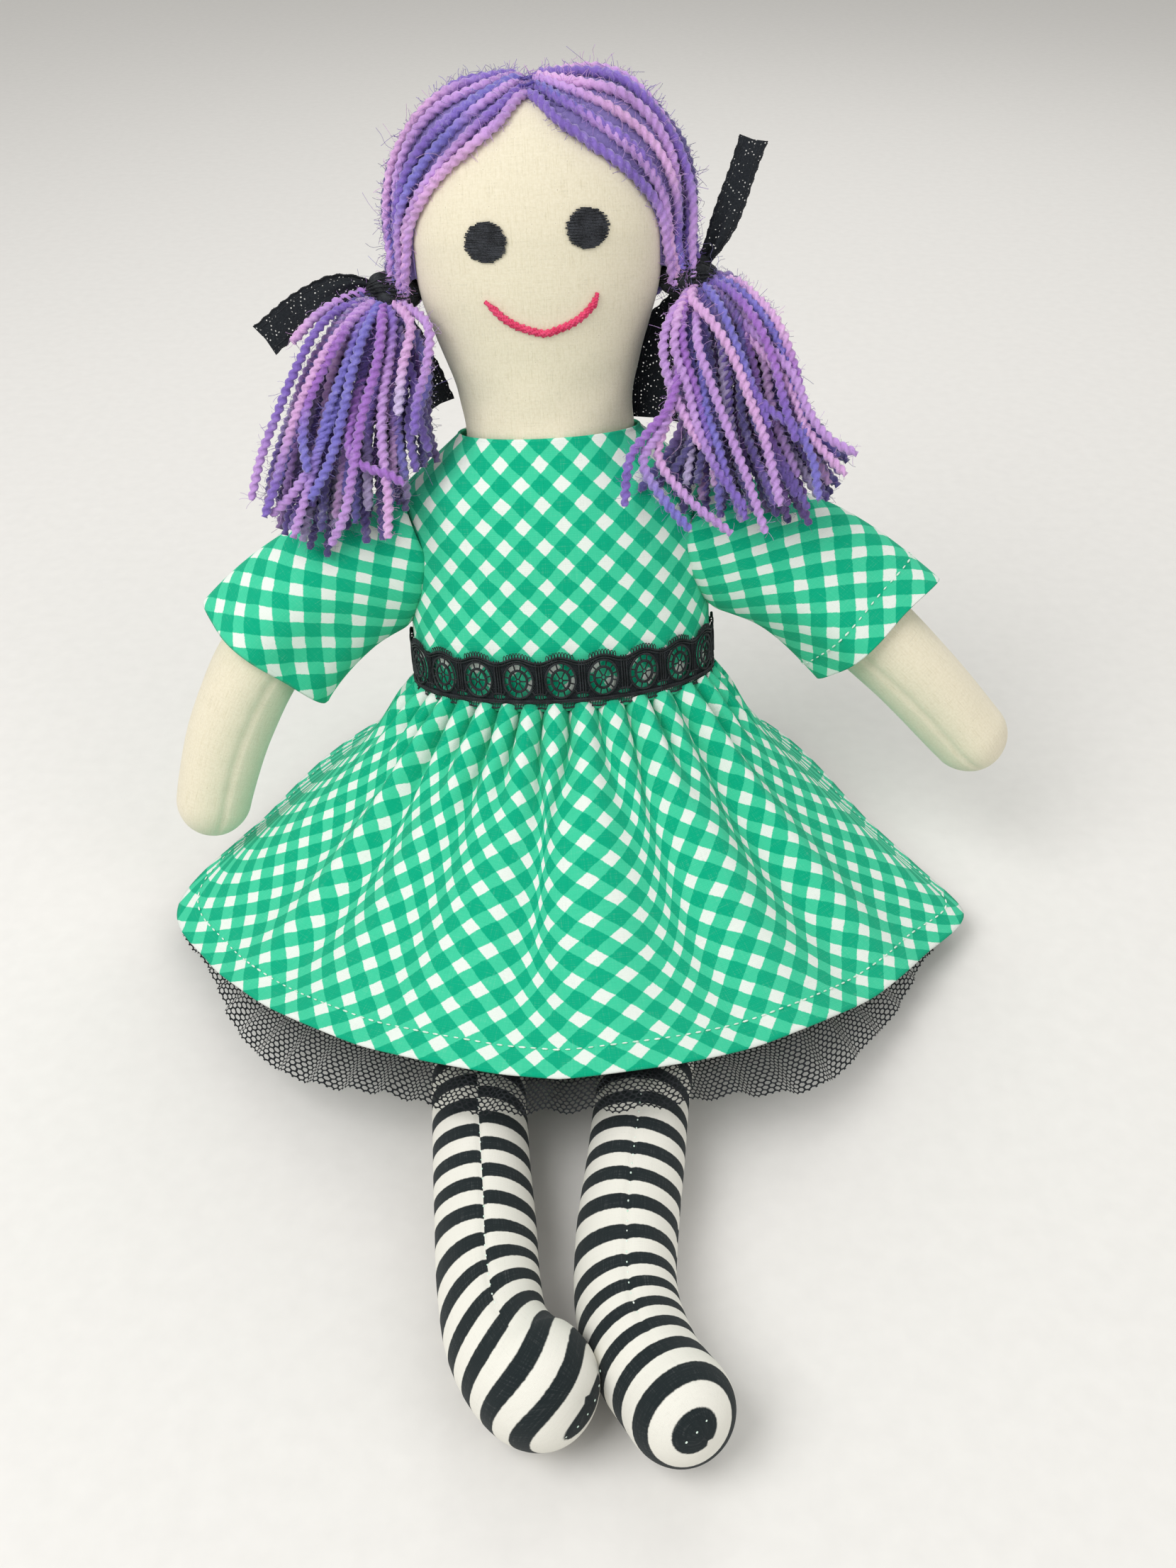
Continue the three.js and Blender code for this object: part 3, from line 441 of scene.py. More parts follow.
def fill_weave(w, given):
    """Plain weave of round threads, over and under, with thick and thin places"""
    wander = w.noise(given["Place"], 0.35, 2.0)
    slip = w.times(w.minus(wander, 0.5), 0.9)
    x, y, _ = w.split(w.vector("ADD", given["Place"], w.join(slip, slip)))
    x, y = (w.over(v, given["Pitch"]) for v in (x, y))
    warp, weft = (w.math("ABSOLUTE", w.math("SINE", w.times(v, math.pi))) for v in (x, y))
    parity = w.math("MODULO", w.plus(w.math("FLOOR", x), w.math("FLOOR", y)), 2.0)
    over = w.math("ABSOLUTE", parity)
    rise = w.plus(0.55, w.times(warp, 0.45))
    fall = w.plus(0.55, w.times(weft, 0.45))
    up = w.times(w.math("POWER", warp, 0.6), fall)
    down = w.times(w.math("POWER", weft, 0.6), rise)
    cross = w.plus(w.times(up, over), w.times(down, w.minus(1.0, over)))
    ribs = w.noise(w.vector("MULTIPLY", given["Place"], (0.12, 1.9, 1.0)), 1.0, 2.0)
    cords = w.noise(w.vector("MULTIPLY", given["Place"], (1.9, 0.12, 1.0)), 1.0, 2.0)
    slubs = w.times(w.minus(w.plus(ribs, cords), 1.0), given["Slubs"])
    return {"Height": w.plus(cross, slubs), "Tone": w.plus(0.5, slubs)}


WEAVE = node_group(
    "plain_weave",
    "ShaderNodeTree",
    {"Place": (VECTOR, None), "Pitch": (FLOAT, 0.5), "Slubs": (FLOAT, 1.0)},
    {"Height": FLOAT, "Tone": FLOAT},
    fill_weave,
)


def fill_checks(w, given):
    """Crossed stripes at 45 degrees to the weave, with slightly soft and wavy edges"""
    waver = w.times(w.minus(w.noise(given["Place"], 0.16, 2.0), 0.5), 1.3)
    bleed = w.times(w.minus(w.noise(given["Place"], 1.6, 2.0), 0.5), 0.5)
    x, y, _ = w.split(given["Place"])
    edge = 0.035
    masks = []
    for operation in ("ADD", "SUBTRACT"):
        line = w.times(w.math(operation, x, y), math.sqrt(0.5))
        line = w.plus(line, w.plus(waver, bleed))
        part = w.math("WRAP", w.over(line, given["Period"]), 1.0, 0.0)
        rise = w.ramp(part, 0.0, edge)
        fall = w.ramp(part, given["Dark share"], w.plus(given["Dark share"], edge))
        masks.append(w.minus(rise, fall))
    one = w.math("MAXIMUM", *masks)
    both = w.times(*masks)
    single = w.blend(one, given["Ground"], given["Single"])
    return {"Color": w.blend(both, single, given["Double"])}


CHECKS = node_group(
    "diagonal_checks",
    "ShaderNodeTree",
    {
        "Place": (VECTOR, None),
        "Period": (FLOAT, CHECK_PERIOD),
        "Dark share": (FLOAT, CHECK_DARK / CHECK_PERIOD),
        "Ground": (COLOUR, (1, 1, 1, 1)),
        "Single": (COLOUR, (1, 1, 1, 1)),
        "Double": (COLOUR, (1, 1, 1, 1)),
    },
    {"Color": COLOUR},
    fill_checks,
)


def fill_hexagons(w, given):
    """Threads of a hexagonal net: 1 on a thread and 0 in a cell"""
    sway = w.times(w.minus(w.noise(given["Place"], 0.25, 1.0), 0.5), 0.7)
    place = w.vector("ADD", given["Place"], w.join(sway, sway))
    place = w.vector("DIVIDE", place, w.join(given["Cell"], given["Cell"], 1.0))
    step, half = (1.0, math.sqrt(3), 1.0), (0.5, math.sqrt(3) / 2, 0.5)
    first = w.vector("SUBTRACT", w.vector("WRAP", place, step, (0, 0, 0)), half)
    second = w.vector("WRAP", w.vector("SUBTRACT", place, half), step, (0, 0, 0))
    second = w.vector("SUBTRACT", second, half)
    edges = []
    for middle in (first, second):
        x, y, _ = w.split(w.vector("ABSOLUTE", middle))
        slope = w.plus(w.times(x, 0.5), w.times(y, math.sqrt(3) / 2))
        edges.append(w.math("MAXIMUM", x, slope))
    rim = w.minus(0.5, w.math("MINIMUM", *edges))
    thread = w.over(w.times(given["Thread"], 0.5), given["Cell"])
    soft = w.times(thread, 1.5)
    return {"Mask": w.minus(1.0, w.ramp(rim, thread, soft))}


HEXAGONS = node_group(
    "hexagonal_net",
    "ShaderNodeTree",
    {"Place": (VECTOR, None), "Cell": (FLOAT, 2.0), "Thread": (FLOAT, 0.3)},
    {"Mask": FLOAT},
    fill_hexagons,
)


def fill_fibres(w, given):
    """Fine hairs lying along the second axis of a place, as a height and a tone"""
    fine = w.noise(w.vector("MULTIPLY", given["Place"], (1.0, 0.12, 1.0)), given["Fineness"], 3.0, 0.65)
    clouds = w.noise(given["Place"], w.times(given["Fineness"], 0.12), 2.0)
    tone = w.plus(w.times(w.minus(fine, 0.5), 1.2), w.minus(clouds, 0.5))
    return {"Height": fine, "Tone": w.plus(0.5, tone)}


FIBRES = node_group(
    "lying_fibres",
    "ShaderNodeTree",
    {"Place": (VECTOR, None), "Fineness": (FLOAT, 1.0)},
    {"Height": FLOAT, "Tone": FLOAT},
    fill_fibres,
)


# ---- materials


def new_material(name, roughness, **fixed):
    """Wires of a new principled material whose fixed values sit on its own sockets"""
    material = bpy.data.materials.new(name)
    material.use_nodes = True
    w = Wires(material.node_tree)
    w.material = material
    w.shader = next(n for n in material.node_tree.nodes if n.type == "BSDF_PRINCIPLED")
    for key, value in {"Roughness": roughness, **fixed}.items():
        w.shader.inputs[key.replace("_", " ")].default_value = value
    return w


def painted(w, **values):
    """The material of these wires, with what it shows linked to its shader"""
    for key, value in values.items():
        w.tree.links.new(value, w.shader.inputs[key.replace("_", " ")])
    return w.material


def cloth_place(w):
    """Place on the flat cloth, in millimetres: UV maps hold millimetres already"""
    return w("ShaderNodeUVMap", uv_map="cloth").outputs["UV"]


def object_place(w):
    """Place on the object, in millimetres"""
    return w.vector("MULTIPLY", w("ShaderNodeTexCoord").outputs["Object"], (1 / MM,) * 3)


def group(w, tree, values):
    return w("ShaderNodeGroup", values, node_tree=tree).outputs


def bump(w, height, strength, distance):
    """Normal from a height in which 1 stands for the distance in millimetres"""
    values = {"Height": height, "Strength": strength, "Distance": distance * MM}
    return w("ShaderNodeBump", values).outputs["Normal"]


def shaded(w, colour, tone, depth):
    """Colour made darker and lighter by a tone around one half"""
    dark = w.blend(0.5, colour, (0, 0, 0, 1))
    light = w.blend(0.25, colour, (1, 1, 1, 1))
    low = w.ramp(tone, 0.5 - depth, 0.5, 1.0, 0.0)
    high = w.ramp(tone, 0.5, 0.5 + depth, 0.0, 1.0)
    return w.blend(w.times(high, 0.6), w.blend(w.times(low, 0.6), colour, dark), light)


COTTON = {"Sheen_Weight": 0.08, "Sheen_Roughness": 0.6}


def gingham_material():
    w = new_material("checked_cotton", 0.92, Specular_IOR_Level=0.06, **COTTON)
    place = cloth_place(w)
    tones = {"Ground": srgb("E6EEE6"), "Single": srgb("3FCB9E"), "Double": srgb("00AA80")}
    checks = group(w, CHECKS, {"Place": place, **tones})["Color"]
    weave = group(w, WEAVE, {"Place": place, "Pitch": 0.38, "Slubs": 0.8})
    ribs = w.math("ABSOLUTE", w.math("SINE", w.times(w.split(place)[1], math.pi / 0.75)))
    height = w.plus(w.times(weave["Height"], 0.6), w.times(ribs, 0.5))
    return painted(w, Base_Color=shaded(w, checks, weave["Tone"], 0.75), Normal=bump(w, height, 0.55, 0.16))


def calico_material():
    """Cream cotton with seed flecks and fine streaks along the thread"""
    w = new_material("cream_calico", 0.95, Sheen_Weight=0.3, Sheen_Roughness=0.5, Specular_IOR_Level=0.2)
    place = cloth_place(w)
    weave = group(w, WEAVE, {"Place": place, "Pitch": 0.34, "Slubs": 1.0})
    fleck = w.ramp(w.noise(place, 0.9, 3.0, 0.6), 0.3, 0.7)
    seeds = w.ramp(w.noise(place, 0.9, 1.0), 0.74, 0.78)
    base = w.blend(fleck, srgb("E2D9BF"), srgb("E9E1CA"))
    base = w.blend(w.times(seeds, 0.45), base, srgb("A08C66"))
    across, along, _ = w.split(place)
    streaks = w.noise(w.join(w.times(across, 2.4), w.times(along, 0.12)), 1.0, 3.0, 0.7)
    base = w.blend(w.times(w.ramp(streaks, 0.5, 0.75), 0.5), base, srgb("C9BE9C"))
    colour = shaded(w, base, weave["Tone"], 0.9)
    return painted(w, Base_Color=colour, Normal=bump(w, weave["Height"], 0.5, 0.12))


def striped_material():
    """Woven stripes across the cloth, black and white in equal shares"""
    w = new_material("striped_cotton_cloth", 0.9, Specular_IOR_Level=0.08, **COTTON)
    place = cloth_place(w)
    weave = group(w, WEAVE, {"Place": place, "Pitch": 0.42, "Slubs": 0.7})
    edge = w.times(w.minus(w.noise(place, 0.8, 2.0), 0.5), 0.5)
    part = w.math("WRAP", w.over(w.plus(w.split(place)[1], edge), STRIPE_PAIR), 1.0, 0.0)
    black = w.minus(w.ramp(part, 0.0, 0.04), w.ramp(part, 0.49, 0.53))
    colour = shaded(w, w.blend(black, srgb("E8E6DC"), srgb("1E2628")), weave["Tone"], 0.8)
    return painted(w, Base_Color=colour, Normal=bump(w, weave["Height"], 0.5, 0.13))


def plain_green_material():
    w = new_material("plain_green_cotton", 0.9, Specular_IOR_Level=0.06, **COTTON)
    weave = group(w, WEAVE, {"Place": cloth_place(w), "Pitch": 0.38, "Slubs": 0.8})
    colour = shaded(w, srgb("35C294"), weave["Tone"], 0.75)
    return painted(w, Base_Color=colour, Normal=bump(w, weave["Height"], 0.55, 0.16))


def net_material():
    w = new_material("hexagonal_net_cloth", 0.85, Specular_IOR_Level=0.15)
    place = cloth_place(w)
    cells = group(w, HEXAGONS, {"Place": place, "Cell": 1.8, "Thread": 0.42})["Mask"]
    shade = w.blend(w.noise(place, 0.6, 1.0), srgb("17191B"), srgb("2A2D30"))
    return painted(w, Base_Color=shade, Alpha=cells)


def lace_ground_material(name, cell, thread, openings):
    """Black net of a lace, open where its pattern leaves it out"""
    w = new_material(name, 0.9, Specular_IOR_Level=0.1)
    place = cloth_place(w)
    cells = group(w, HEXAGONS, {"Place": place, "Cell": cell, "Thread": thread})["Mask"]
    shade = w.blend(w.noise(place, 1.4, 2.0), srgb("121417"), srgb("303438"))
    relief = bump(w, w.noise(place, 1.1, 2.0), 0.7, 0.5)
    return painted(w, Base_Color=shade, Alpha=openings(w, place, cells), Normal=relief)


def oval(w, place, middle, size, period):
    """Distance from the middle of an oval as a share of its half size, repeated along the first axis"""
    x, y, _ = w.split(place)
    x = w.times(w.minus(w.math("WRAP", w.over(x, period), 1.0, 0.0), 0.5), period)
    x = w.over(w.minus(x, middle[0]), size[0] / 2)
    y = w.over(w.minus(y, middle[1]), size[1] / 2)
    return w.vector("LENGTH", w.join(x, y), out=1)


def sash_openings(w, place, cells):
    """An oval eyelet in the middle of each motif, and a slot that it shares with the next one"""
    eyelet = w.ramp(oval(w, place, (0.0, 12.0), (12.2, 14.8), SASH_MOTIF), 0.97, 1.03)
    slots = [
        w.ramp(oval(w, place, (x, 4.9), (5.0, 1.6), SASH_MOTIF), 0.9, 1.1) for x in (SASH_MOTIF / 2, -SASH_MOTIF / 2)
    ]
    return w.times(cells, w.times(eyelet, w.math("MINIMUM", *slots)))


def ribbon_openings(w, place, cells):
    """Close loopy ground with small uneven holes"""
    return w.math("MAXIMUM", cells, w.ramp(w.noise(place, 0.55, 2.0), 0.38, 0.44))


def fibre_material(w, fineness, colour, strength, distance):
    """Hairs that lie along the object; `colour` makes its colour from their tone"""
    hairs = group(w, FIBRES, {"Place": object_place(w), "Fineness": fineness})
    return painted(w, Base_Color=colour(hairs["Tone"]), Normal=bump(w, hairs["Height"], strength, distance))


def thread_material(name, dark, light, roughness=0.7, fineness=2.0):
    """Twisted thread whose colour is its own"""
    w = new_material(name, roughness, Sheen_Weight=0.1, Sheen_Roughness=0.4, Specular_IOR_Level=0.25)
    colour = lambda tone: w.blend(w.ramp(tone, 0.2, 0.8), srgb(dark), srgb(light))
    return fibre_material(w, fineness, colour, 0.35, 0.1)


def yarn_material():
    """Two-ply yarn whose colour changes from place to place along it"""
    w = new_material("variegated_yarn", 1.0, Sheen_Weight=0.5, Sheen_Roughness=0.5, Specular_IOR_Level=0.05)
    tint = w("ShaderNodeAttribute", attribute_name="tint").outputs["Color"]
    return fibre_material(w, 1.3, lambda tone: shaded(w, tint, tone, 0.55), 0.7, 0.35)


def hair_base_material():
    w = new_material("yarn_base", 1.0, Sheen_Weight=0.3)
    return fibre_material(w, 0.8, lambda tone: w.blend(tone, srgb("6D619C"), srgb("8D7CBC")), 0.8, 0.5)


def steel_material():
    w = new_material("stud_steel", 0.3, Metallic=1.0)
    brushed = w.noise(object_place(w), 1.5, 3.0)
    colour = w.blend(brushed, srgb("85888B"), srgb("B4B7BA"))
    return painted(w, Base_Color=colour, Roughness=w.ramp(brushed, 0.2, 0.8, 0.25, 0.4))


CALICO = calico_material()
PLAIN_GREEN = plain_green_material()
GINGHAM = gingham_material()
STRIPED = striped_material()
NET = net_material()
SASH_GROUND = lace_ground_material("sash_lace_ground", 0.8, 0.55, sash_openings)
RIBBON_LACE = lace_ground_material("ribbon_lace_cloth", 1.5, 0.8, ribbon_openings)
LACE_THREAD = thread_material("black_lace_thread", "121416", "303337", 0.75)
EYE_THREAD = thread_material("black_satin_thread", "1D1F23", "45484E", 0.45)
MOUTH_THREAD = thread_material("crimson_pink_thread", "CC2F58", "E8507A", 0.6)
SEWING_THREAD = thread_material("pale_green_thread", "BFE3CF", "EEF5EE", 0.7)
PARTING_THREAD = thread_material("blue_violet_thread", "40357A", "6252A6", 0.8)
YARN = yarn_material()
HAIR_BASE = hair_base_material()
STEEL = steel_material()


# ---- geometry trees


def growth_tree(name, fill, inputs):
    """Tree that grows a piece from guide lines and sets its material; `fill` makes its shape"""

    def filled(w, given):
        whole = w.shape("RealizeInstances", {"Geometry": fill(w, given)})
        return {"Geometry": w.shape("SetMaterial", {"Geometry": whole, "Material": given["Material"]})}

    sockets = {"Geometry": (GEOMETRY, None), **inputs, "Material": (MATERIAL, None)}
    return node_group(name, "GeometryNodeTree", sockets, {"Geometry": GEOMETRY}, filled)


def tube_round(w, curve, profile):
    """Smooth tube along curves, as thick as the girth that their points hold"""
    girth = w.shape("InputNamedAttribute", {"Name": "girth"}, data_type="FLOAT")
    values = {"Curve": curve, "Profile Curve": profile, "Scale": girth, "Fill Caps": True}
    return w.shape("SetShadeSmooth", {"Geometry": w.shape("CurveToMesh", values)})


def fill_yarn(w, given):
    """Guide lines become twisted yarn: the profile of lobes turns along each line"""
    curve = w.shape("MeshToCurve", {"Mesh": given["Geometry"]})
    curve = w.shape("ResampleCurve", {"Curve": curve, "Length": given["Step"]}, mode="LENGTH")
    gone = w("GeometryNodeSplineParameter").outputs["Length"]
    start = w.shape("InputNamedAttribute", {"Name": "turn"}, data_type="FLOAT")
    turns = w.times(w.over(gone, given["Turn length"]), 2 * math.pi)
    curve = w.shape("SetCurveTilt", {"Curve": curve, "Tilt": w.plus(turns, start)})
    ring = w.shape("CurvePrimitiveCircle", {"Resolution": given["Sides"], "Radius": 1.0}, mode="RADIUS")
    place = w.shape("InputPosition")
    x = w.split(place)[0]
    waist = w.plus(given["Pinch"], w.times(w.times(x, x), w.minus(1.0, given["Pinch"])))
    pinched = w.vector("MULTIPLY", place, w.join(waist, waist, 1.0))
    return tube_round(w, curve, w.shape("SetPosition", {"Geometry": ring, "Position": pinched}))


TWISTED_YARN = growth_tree(
    "twisted_yarn",
    fill_yarn,
    {"Step": (FLOAT, 0.001), "Turn length": (FLOAT, 0.0075), "Pinch": (FLOAT, 0.5), "Sides": (WHOLE, 10)},
)


def fill_stitches(w, given):
    """Short stitches set at even steps along guide lines, lying flat on the cloth"""
    curve = w.shape("MeshToCurve", {"Mesh": given["Geometry"]})
    curve = w.shape("ResampleCurve", {"Curve": curve, "Length": given["Spacing"]}, mode="LENGTH")
    along = w.shape("InputTangent")
    up = w.shape("InputNamedAttribute", {"Name": "up"}, data_type="FLOAT_VECTOR")
    align = "FunctionNodeAlignRotationToVector"
    first = w(align, {"Vector": up}, axis="Z").outputs["Rotation"]
    turned = w(align, {"Rotation": first, "Vector": along}, axis="X", pivot_axis="Z").outputs["Rotation"]
    bead = w.shape("MeshUVSphere", {"Segments": 6, "Rings": 5, "Radius": 0.5})
    size = w.join(given["Length"], given["Thickness"], w.times(given["Thickness"], 0.7))
    bead = w.shape("SetShadeSmooth", {"Geometry": w.shape("Transform", {"Geometry": bead, "Scale": size})})
    vary = w("FunctionNodeRandomValue", {2: 0.8, 3: 1.15, "Seed": given["Seed"]}, data_type="FLOAT").outputs[1]
    return w.shape("InstanceOnPoints", {"Points": curve, "Instance": bead, "Rotation": turned, "Scale": vary})


RUNNING_STITCH = growth_tree(
    "running_stitch",
    fill_stitches,
    {"Spacing": (FLOAT, 0.004), "Length": (FLOAT, 0.0024), "Thickness": (FLOAT, 0.0006), "Seed": (WHOLE, 3)},
)


def fill_fuzz(w, given):
    """Fine bent hairs that stand out of the yarn, seeded, in the colour of the place they grow from"""
    points = w(
        "GeometryNodeDistributePointsOnFaces",
        {"Mesh": given["Geometry"], "Density": given["Density"], "Seed": given["Seed"]},
        distribute_method="RANDOM",
    )
    bow = w.shape(
        "CurveQuadraticBezier",
        {"Resolution": 3, "Start": (0, 0, 0), "Middle": (0.12, 0.1, 0.6), "End": (0.55, 0.1, 0.9)},
    )
    ring = w.shape("CurvePrimitiveCircle", {"Resolution": 3, "Radius": given["Thickness"]}, mode="RADIUS")
    hair = w.shape("CurveToMesh", {"Curve": bow, "Profile Curve": ring})
    chance = "FunctionNodeRandomValue"
    widest = {0: (-0.9, -0.9, -3.1), 1: (0.9, 0.9, 3.1), "Seed": given["Seed"]}
    spin = w(chance, widest, data_type="FLOAT_VECTOR").outputs[0]
    turned = w(
        "FunctionNodeRotateRotation",
        {"Rotation": points.outputs["Rotation"], "Rotate By": spin},
        rotation_space="LOCAL",
    ).outputs["Rotation"]
    reach = w(chance, {2: 0.35, 3: 1.0, "Seed": given["Seed"]}, data_type="FLOAT").outputs[1]
    return w.shape(
        "InstanceOnPoints",
        {
            "Points": points.outputs["Points"],
            "Instance": hair,
            "Rotation": turned,
            "Scale": w.times(reach, given["Reach"]),
        },
    )


YARN_FUZZ = growth_tree(
    "yarn_fuzz",
    fill_fuzz,
    {"Density": (FLOAT, 1.0e5), "Reach": (FLOAT, 0.004), "Thickness": (FLOAT, 0.012), "Seed": (WHOLE, 5)},
)


def fill_lace(w, given):
    """Threads of one motif, repeated along an oval path and wrapped round it: x goes along it and y up"""
    many = w.shape("MeshLine", {"Count": given["Motifs"], "Offset": w.join(given["Pitch"])}, mode="OFFSET")
    row = w.shape("InstanceOnPoints", {"Points": many, "Instance": given["Geometry"]})
    row = w.shape("RealizeInstances", {"Geometry": row})
    ring = w.shape("CurvePrimitiveCircle", {"Resolution": 180, "Radius": 1.0}, mode="RADIUS")
    halves = w.join(given["Half width"], given["Half depth"], 1.0)
    path = w.shape("Transform", {"Geometry": ring, "Scale": halves})
    whole_way = w.times(given["Pitch"], given["Motifs"])
    x, y, z = w.split(w.shape("InputPosition"))
    share = w.math("FRACT", w.over(x, whole_way))
    sample = w("GeometryNodeSampleCurve", {"Curves": path, "Factor": share}, mode="FACTOR").outputs
    outward = w.vector("CROSS_PRODUCT", sample["Tangent"], (0, 0, 1))
    spot = w.vector("ADD", sample["Position"], w.vector("MULTIPLY", outward, w.join(z, z, z)))
    place = w.vector("ADD", spot, w.join(0.0, 0.0, y))
    wrapped = w.shape("SetPosition", {"Geometry": row, "Position": place})
    curve = w.shape("MeshToCurve", {"Mesh": wrapped})
    profile = w.shape("CurvePrimitiveCircle", {"Resolution": 5, "Radius": 1.0}, mode="RADIUS")
    tube = w.shape("Transform", {"Geometry": tube_round(w, curve, profile), "Translation": given["Base"]})
    return w.shape("Transform", {"Geometry": tube, "Rotation": given["Lean"]})


WRAPPED_LACE = growth_tree(
    "wrapped_lace",
    fill_lace,
    {
        "Motifs": (WHOLE, 20),
        "Pitch": (FLOAT, 0.0174),
        "Half width": (FLOAT, 0.06),
        "Half depth": (FLOAT, 0.04),
        "Base": (VECTOR, (0, 0, 0)),
        "Lean": ("NodeSocketRotation", None),
    },
)


def guide_mesh(name, lines, girths, tints=None, turns=None, ups=None):
    """Loose lines in millimetres that a tree thickens.
    Each line or each of its points has a girth, and may have a turn, a tint and an up."""
    starts = np.cumsum([0] + [len(line) for line in lines])
    edges = [np.stack([np.arange(a, b - 1), np.arange(a + 1, b)], 1) for a, b in zip(starts, starts[1:])]
    mesh = bpy.data.meshes.new(name)
    mesh.from_pydata((np.vstack(lines) * MM).tolist(), np.vstack(edges).tolist(), [])

    def hold(title, kind, key, values):
        layer = mesh.attributes.new(title, kind, "POINT")
        layer.data.foreach_set(key, values.astype(np.float32).ravel())

    spread = lambda values: np.concatenate([np.broadcast_to(v, len(line)) for v, line in zip(values, lines)])
    hold("girth", "FLOAT", "value", spread(girths) * MM)
    if turns is not None:
        hold("turn", "FLOAT", "value", spread(turns))
    if tints is not None:
        colours = np.vstack(tints)[:, :3]
        hold("tint", "FLOAT_COLOR", "color", np.hstack([colours, np.ones((len(colours), 1))]))
    if ups is not None:
        hold("up", "FLOAT_VECTOR", "vector", np.vstack(ups))
    return mesh


def grown(name, lines, tree, **values):
    """Plain mesh that a tree makes from a guide mesh, with its inputs set by name"""
    guide = link(name + "_guide", lines)
    growth = guide.modifiers.new("growth", "NODES")
    growth.node_group = tree
    named = {key.replace("_", " ").lower(): value for key, value in values.items()}
    for item in tree.interface.items_tree:
        if item.in_out == "INPUT" and item.name.lower() in named:
            growth[item.identifier] = named.pop(item.name.lower())
    assert not named, named
    mesh = evaluated_mesh(guide)
    bpy.data.objects.remove(guide)
    mesh.name = name
    return link(name, mesh)


def yarn(name, lines, girths, material, tints=None, step=1.0, turn_length=7.5, pinch=0.5, sides=10, seed=1):
    turns = np.random.default_rng(seed).uniform(0, 2 * math.pi, len(lines))
    guide = guide_mesh(name + "_lines", lines, girths, tints, turns)
    lengths = {"step": step * MM, "turn_length": turn_length * MM}
    return grown(name, guide, TWISTED_YARN, pinch=pinch, sides=sides, material=material, **lengths)


def stitches(name, lines, ups, material, spacing, length, thickness, seed=3):
    guide = guide_mesh(name + "_lines", lines, [thickness] * len(lines), ups=ups)
    lengths = {"spacing": spacing * MM, "length": length * MM, "thickness": thickness * MM}
    return grown(name, guide, RUNNING_STITCH, seed=seed, material=material, **lengths)


# ---- stage, light and camera


FLOOR_REACH = 4.0
# Name, place and size in metres, and watts
LAMPS = [
    ("window_light", (-0.9, -0.7, 1.5), 1.1, 21),
    ("fill_light", (1.2, -0.9, 1.1), 1.2, 6),
    ("back_light", (0.3, 1.2, 1.3), 1.0, 6),
]
LAMP_AIM = (0, 0, 0.12)


def set_stage():
    scene = bpy.context.scene
    scene.view_settings.view_transform = "Standard"
    mesh = bpy.data.meshes.new("floor")
    r = FLOOR_REACH
    mesh.from_pydata([(-r, -r, 0), (r, -r, 0), (r, r, 0), (-r, r, 0)], [], [(0, 1, 2, 3)])
    w = new_material("pale_floor", 0.95)
    colour = w.blend(w.noise(object_place(w), 0.12, 3.0), srgb("DEDCD8"), srgb("E6E4E0"))
    mesh.materials.append(painted(w, Base_Color=colour))
    link("floor", mesh)
    world = bpy.data.worlds.new("studio")
    world.use_nodes = True
    background = world.node_tree.nodes["Background"]
    background.inputs["Color"].default_value = (1.0, 0.99, 0.97, 1)
    background.inputs["Strength"].default_value = 0.55
    scene.world = world
    for name, place, size, watts in LAMPS:
        lamp = bpy.data.lights.new(name, "AREA")
        lamp.size = size
        lamp.energy = watts
        obj = link(name, lamp)
        obj.location = place
        obj.rotation_euler = (Vector(LAMP_AIM) - Vector(place)).to_track_quat("-Z", "Y").to_euler()


def set_camera():
    lens = bpy.data.cameras.new("camera")
    lens.lens = CAMERA_LENS
    lens.sensor_width = CAMERA_SENSOR
    lens.sensor_fit = "AUTO"
    camera = link("camera", lens)
    camera.location = CAMERA_PLACE
    camera.rotation_euler = (math.radians(90 - CAMERA_DOWN), 0, 0)
    bpy.context.scene.camera = camera


set_camera()
set_stage()


# ---- stuffed calico: torso, head, arms


# Shares of the torso's width and depth by height above the seat
TORSO_WIDTHS = [
    (-10, 0.84), (20, 0.95), (60, 1), (110, 0.97), (160, 0.97), (180, 0.94), (195, 0.79), (206, 0.6),
]
TORSO_DEPTHS = [(-10, 0.9), (20, 1.02), (60, 1.02), (110, 0.95), (160, 0.86), (185, 0.76), (206, 0.64)]
SIDES = {1: "left", -1: "right"}


def torso_width(z):
    return smooth_line([(h, share * TORSO_WIDTH / 2) for h, share in TORSO_WIDTHS], z)


def torso_depth(z):
    return smooth_line([(h, share * TORSO_DEPTH / 2) for h, share in TORSO_DEPTHS], z)


def hip_joint(side):
    return np.array([side * HIP_SPACING / 2, -HIP_FORWARD, HIP_HEIGHT])


SHOULDER_X = float(torso_width(SHOULDER_HEIGHT)) + ARM_RADIUS - 1


def shoulder_joint(side):
    return np.array([side * SHOULDER_X, 0, SHOULDER_HEIGHT])


BACK_PANEL_SHIFT = 300


def panels(grid):
    """Flat places of a form that is sewn from a front and a back panel: across from the middle, and up"""
    gone = row_lengths(grid)
    quarter = grid.shape[1] // 4
    front, back = gone[:, 3 * quarter][:, None], gone[:, quarter][:, None]
    is_front = np.arange(gone.shape[1])[None, :] > 2 * quarter
    u = np.where(is_front, gone - front, gone - back + BACK_PANEL_SHIFT)
    return np.stack([u, rounded(column_lengths(grid))], -1)


def upright_grid(width, depth, heights, angles, shift, back):
    """Grid of rings round the upright: half width and depth by height, pushed out by a shift"""
    x = (width[:, None] + shift) * np.cos(angles)
    y = (depth[:, None] + shift) * np.sin(angles) + back
    return np.stack([x, y, np.broadcast_to(heights[:, None], x.shape)], -1)


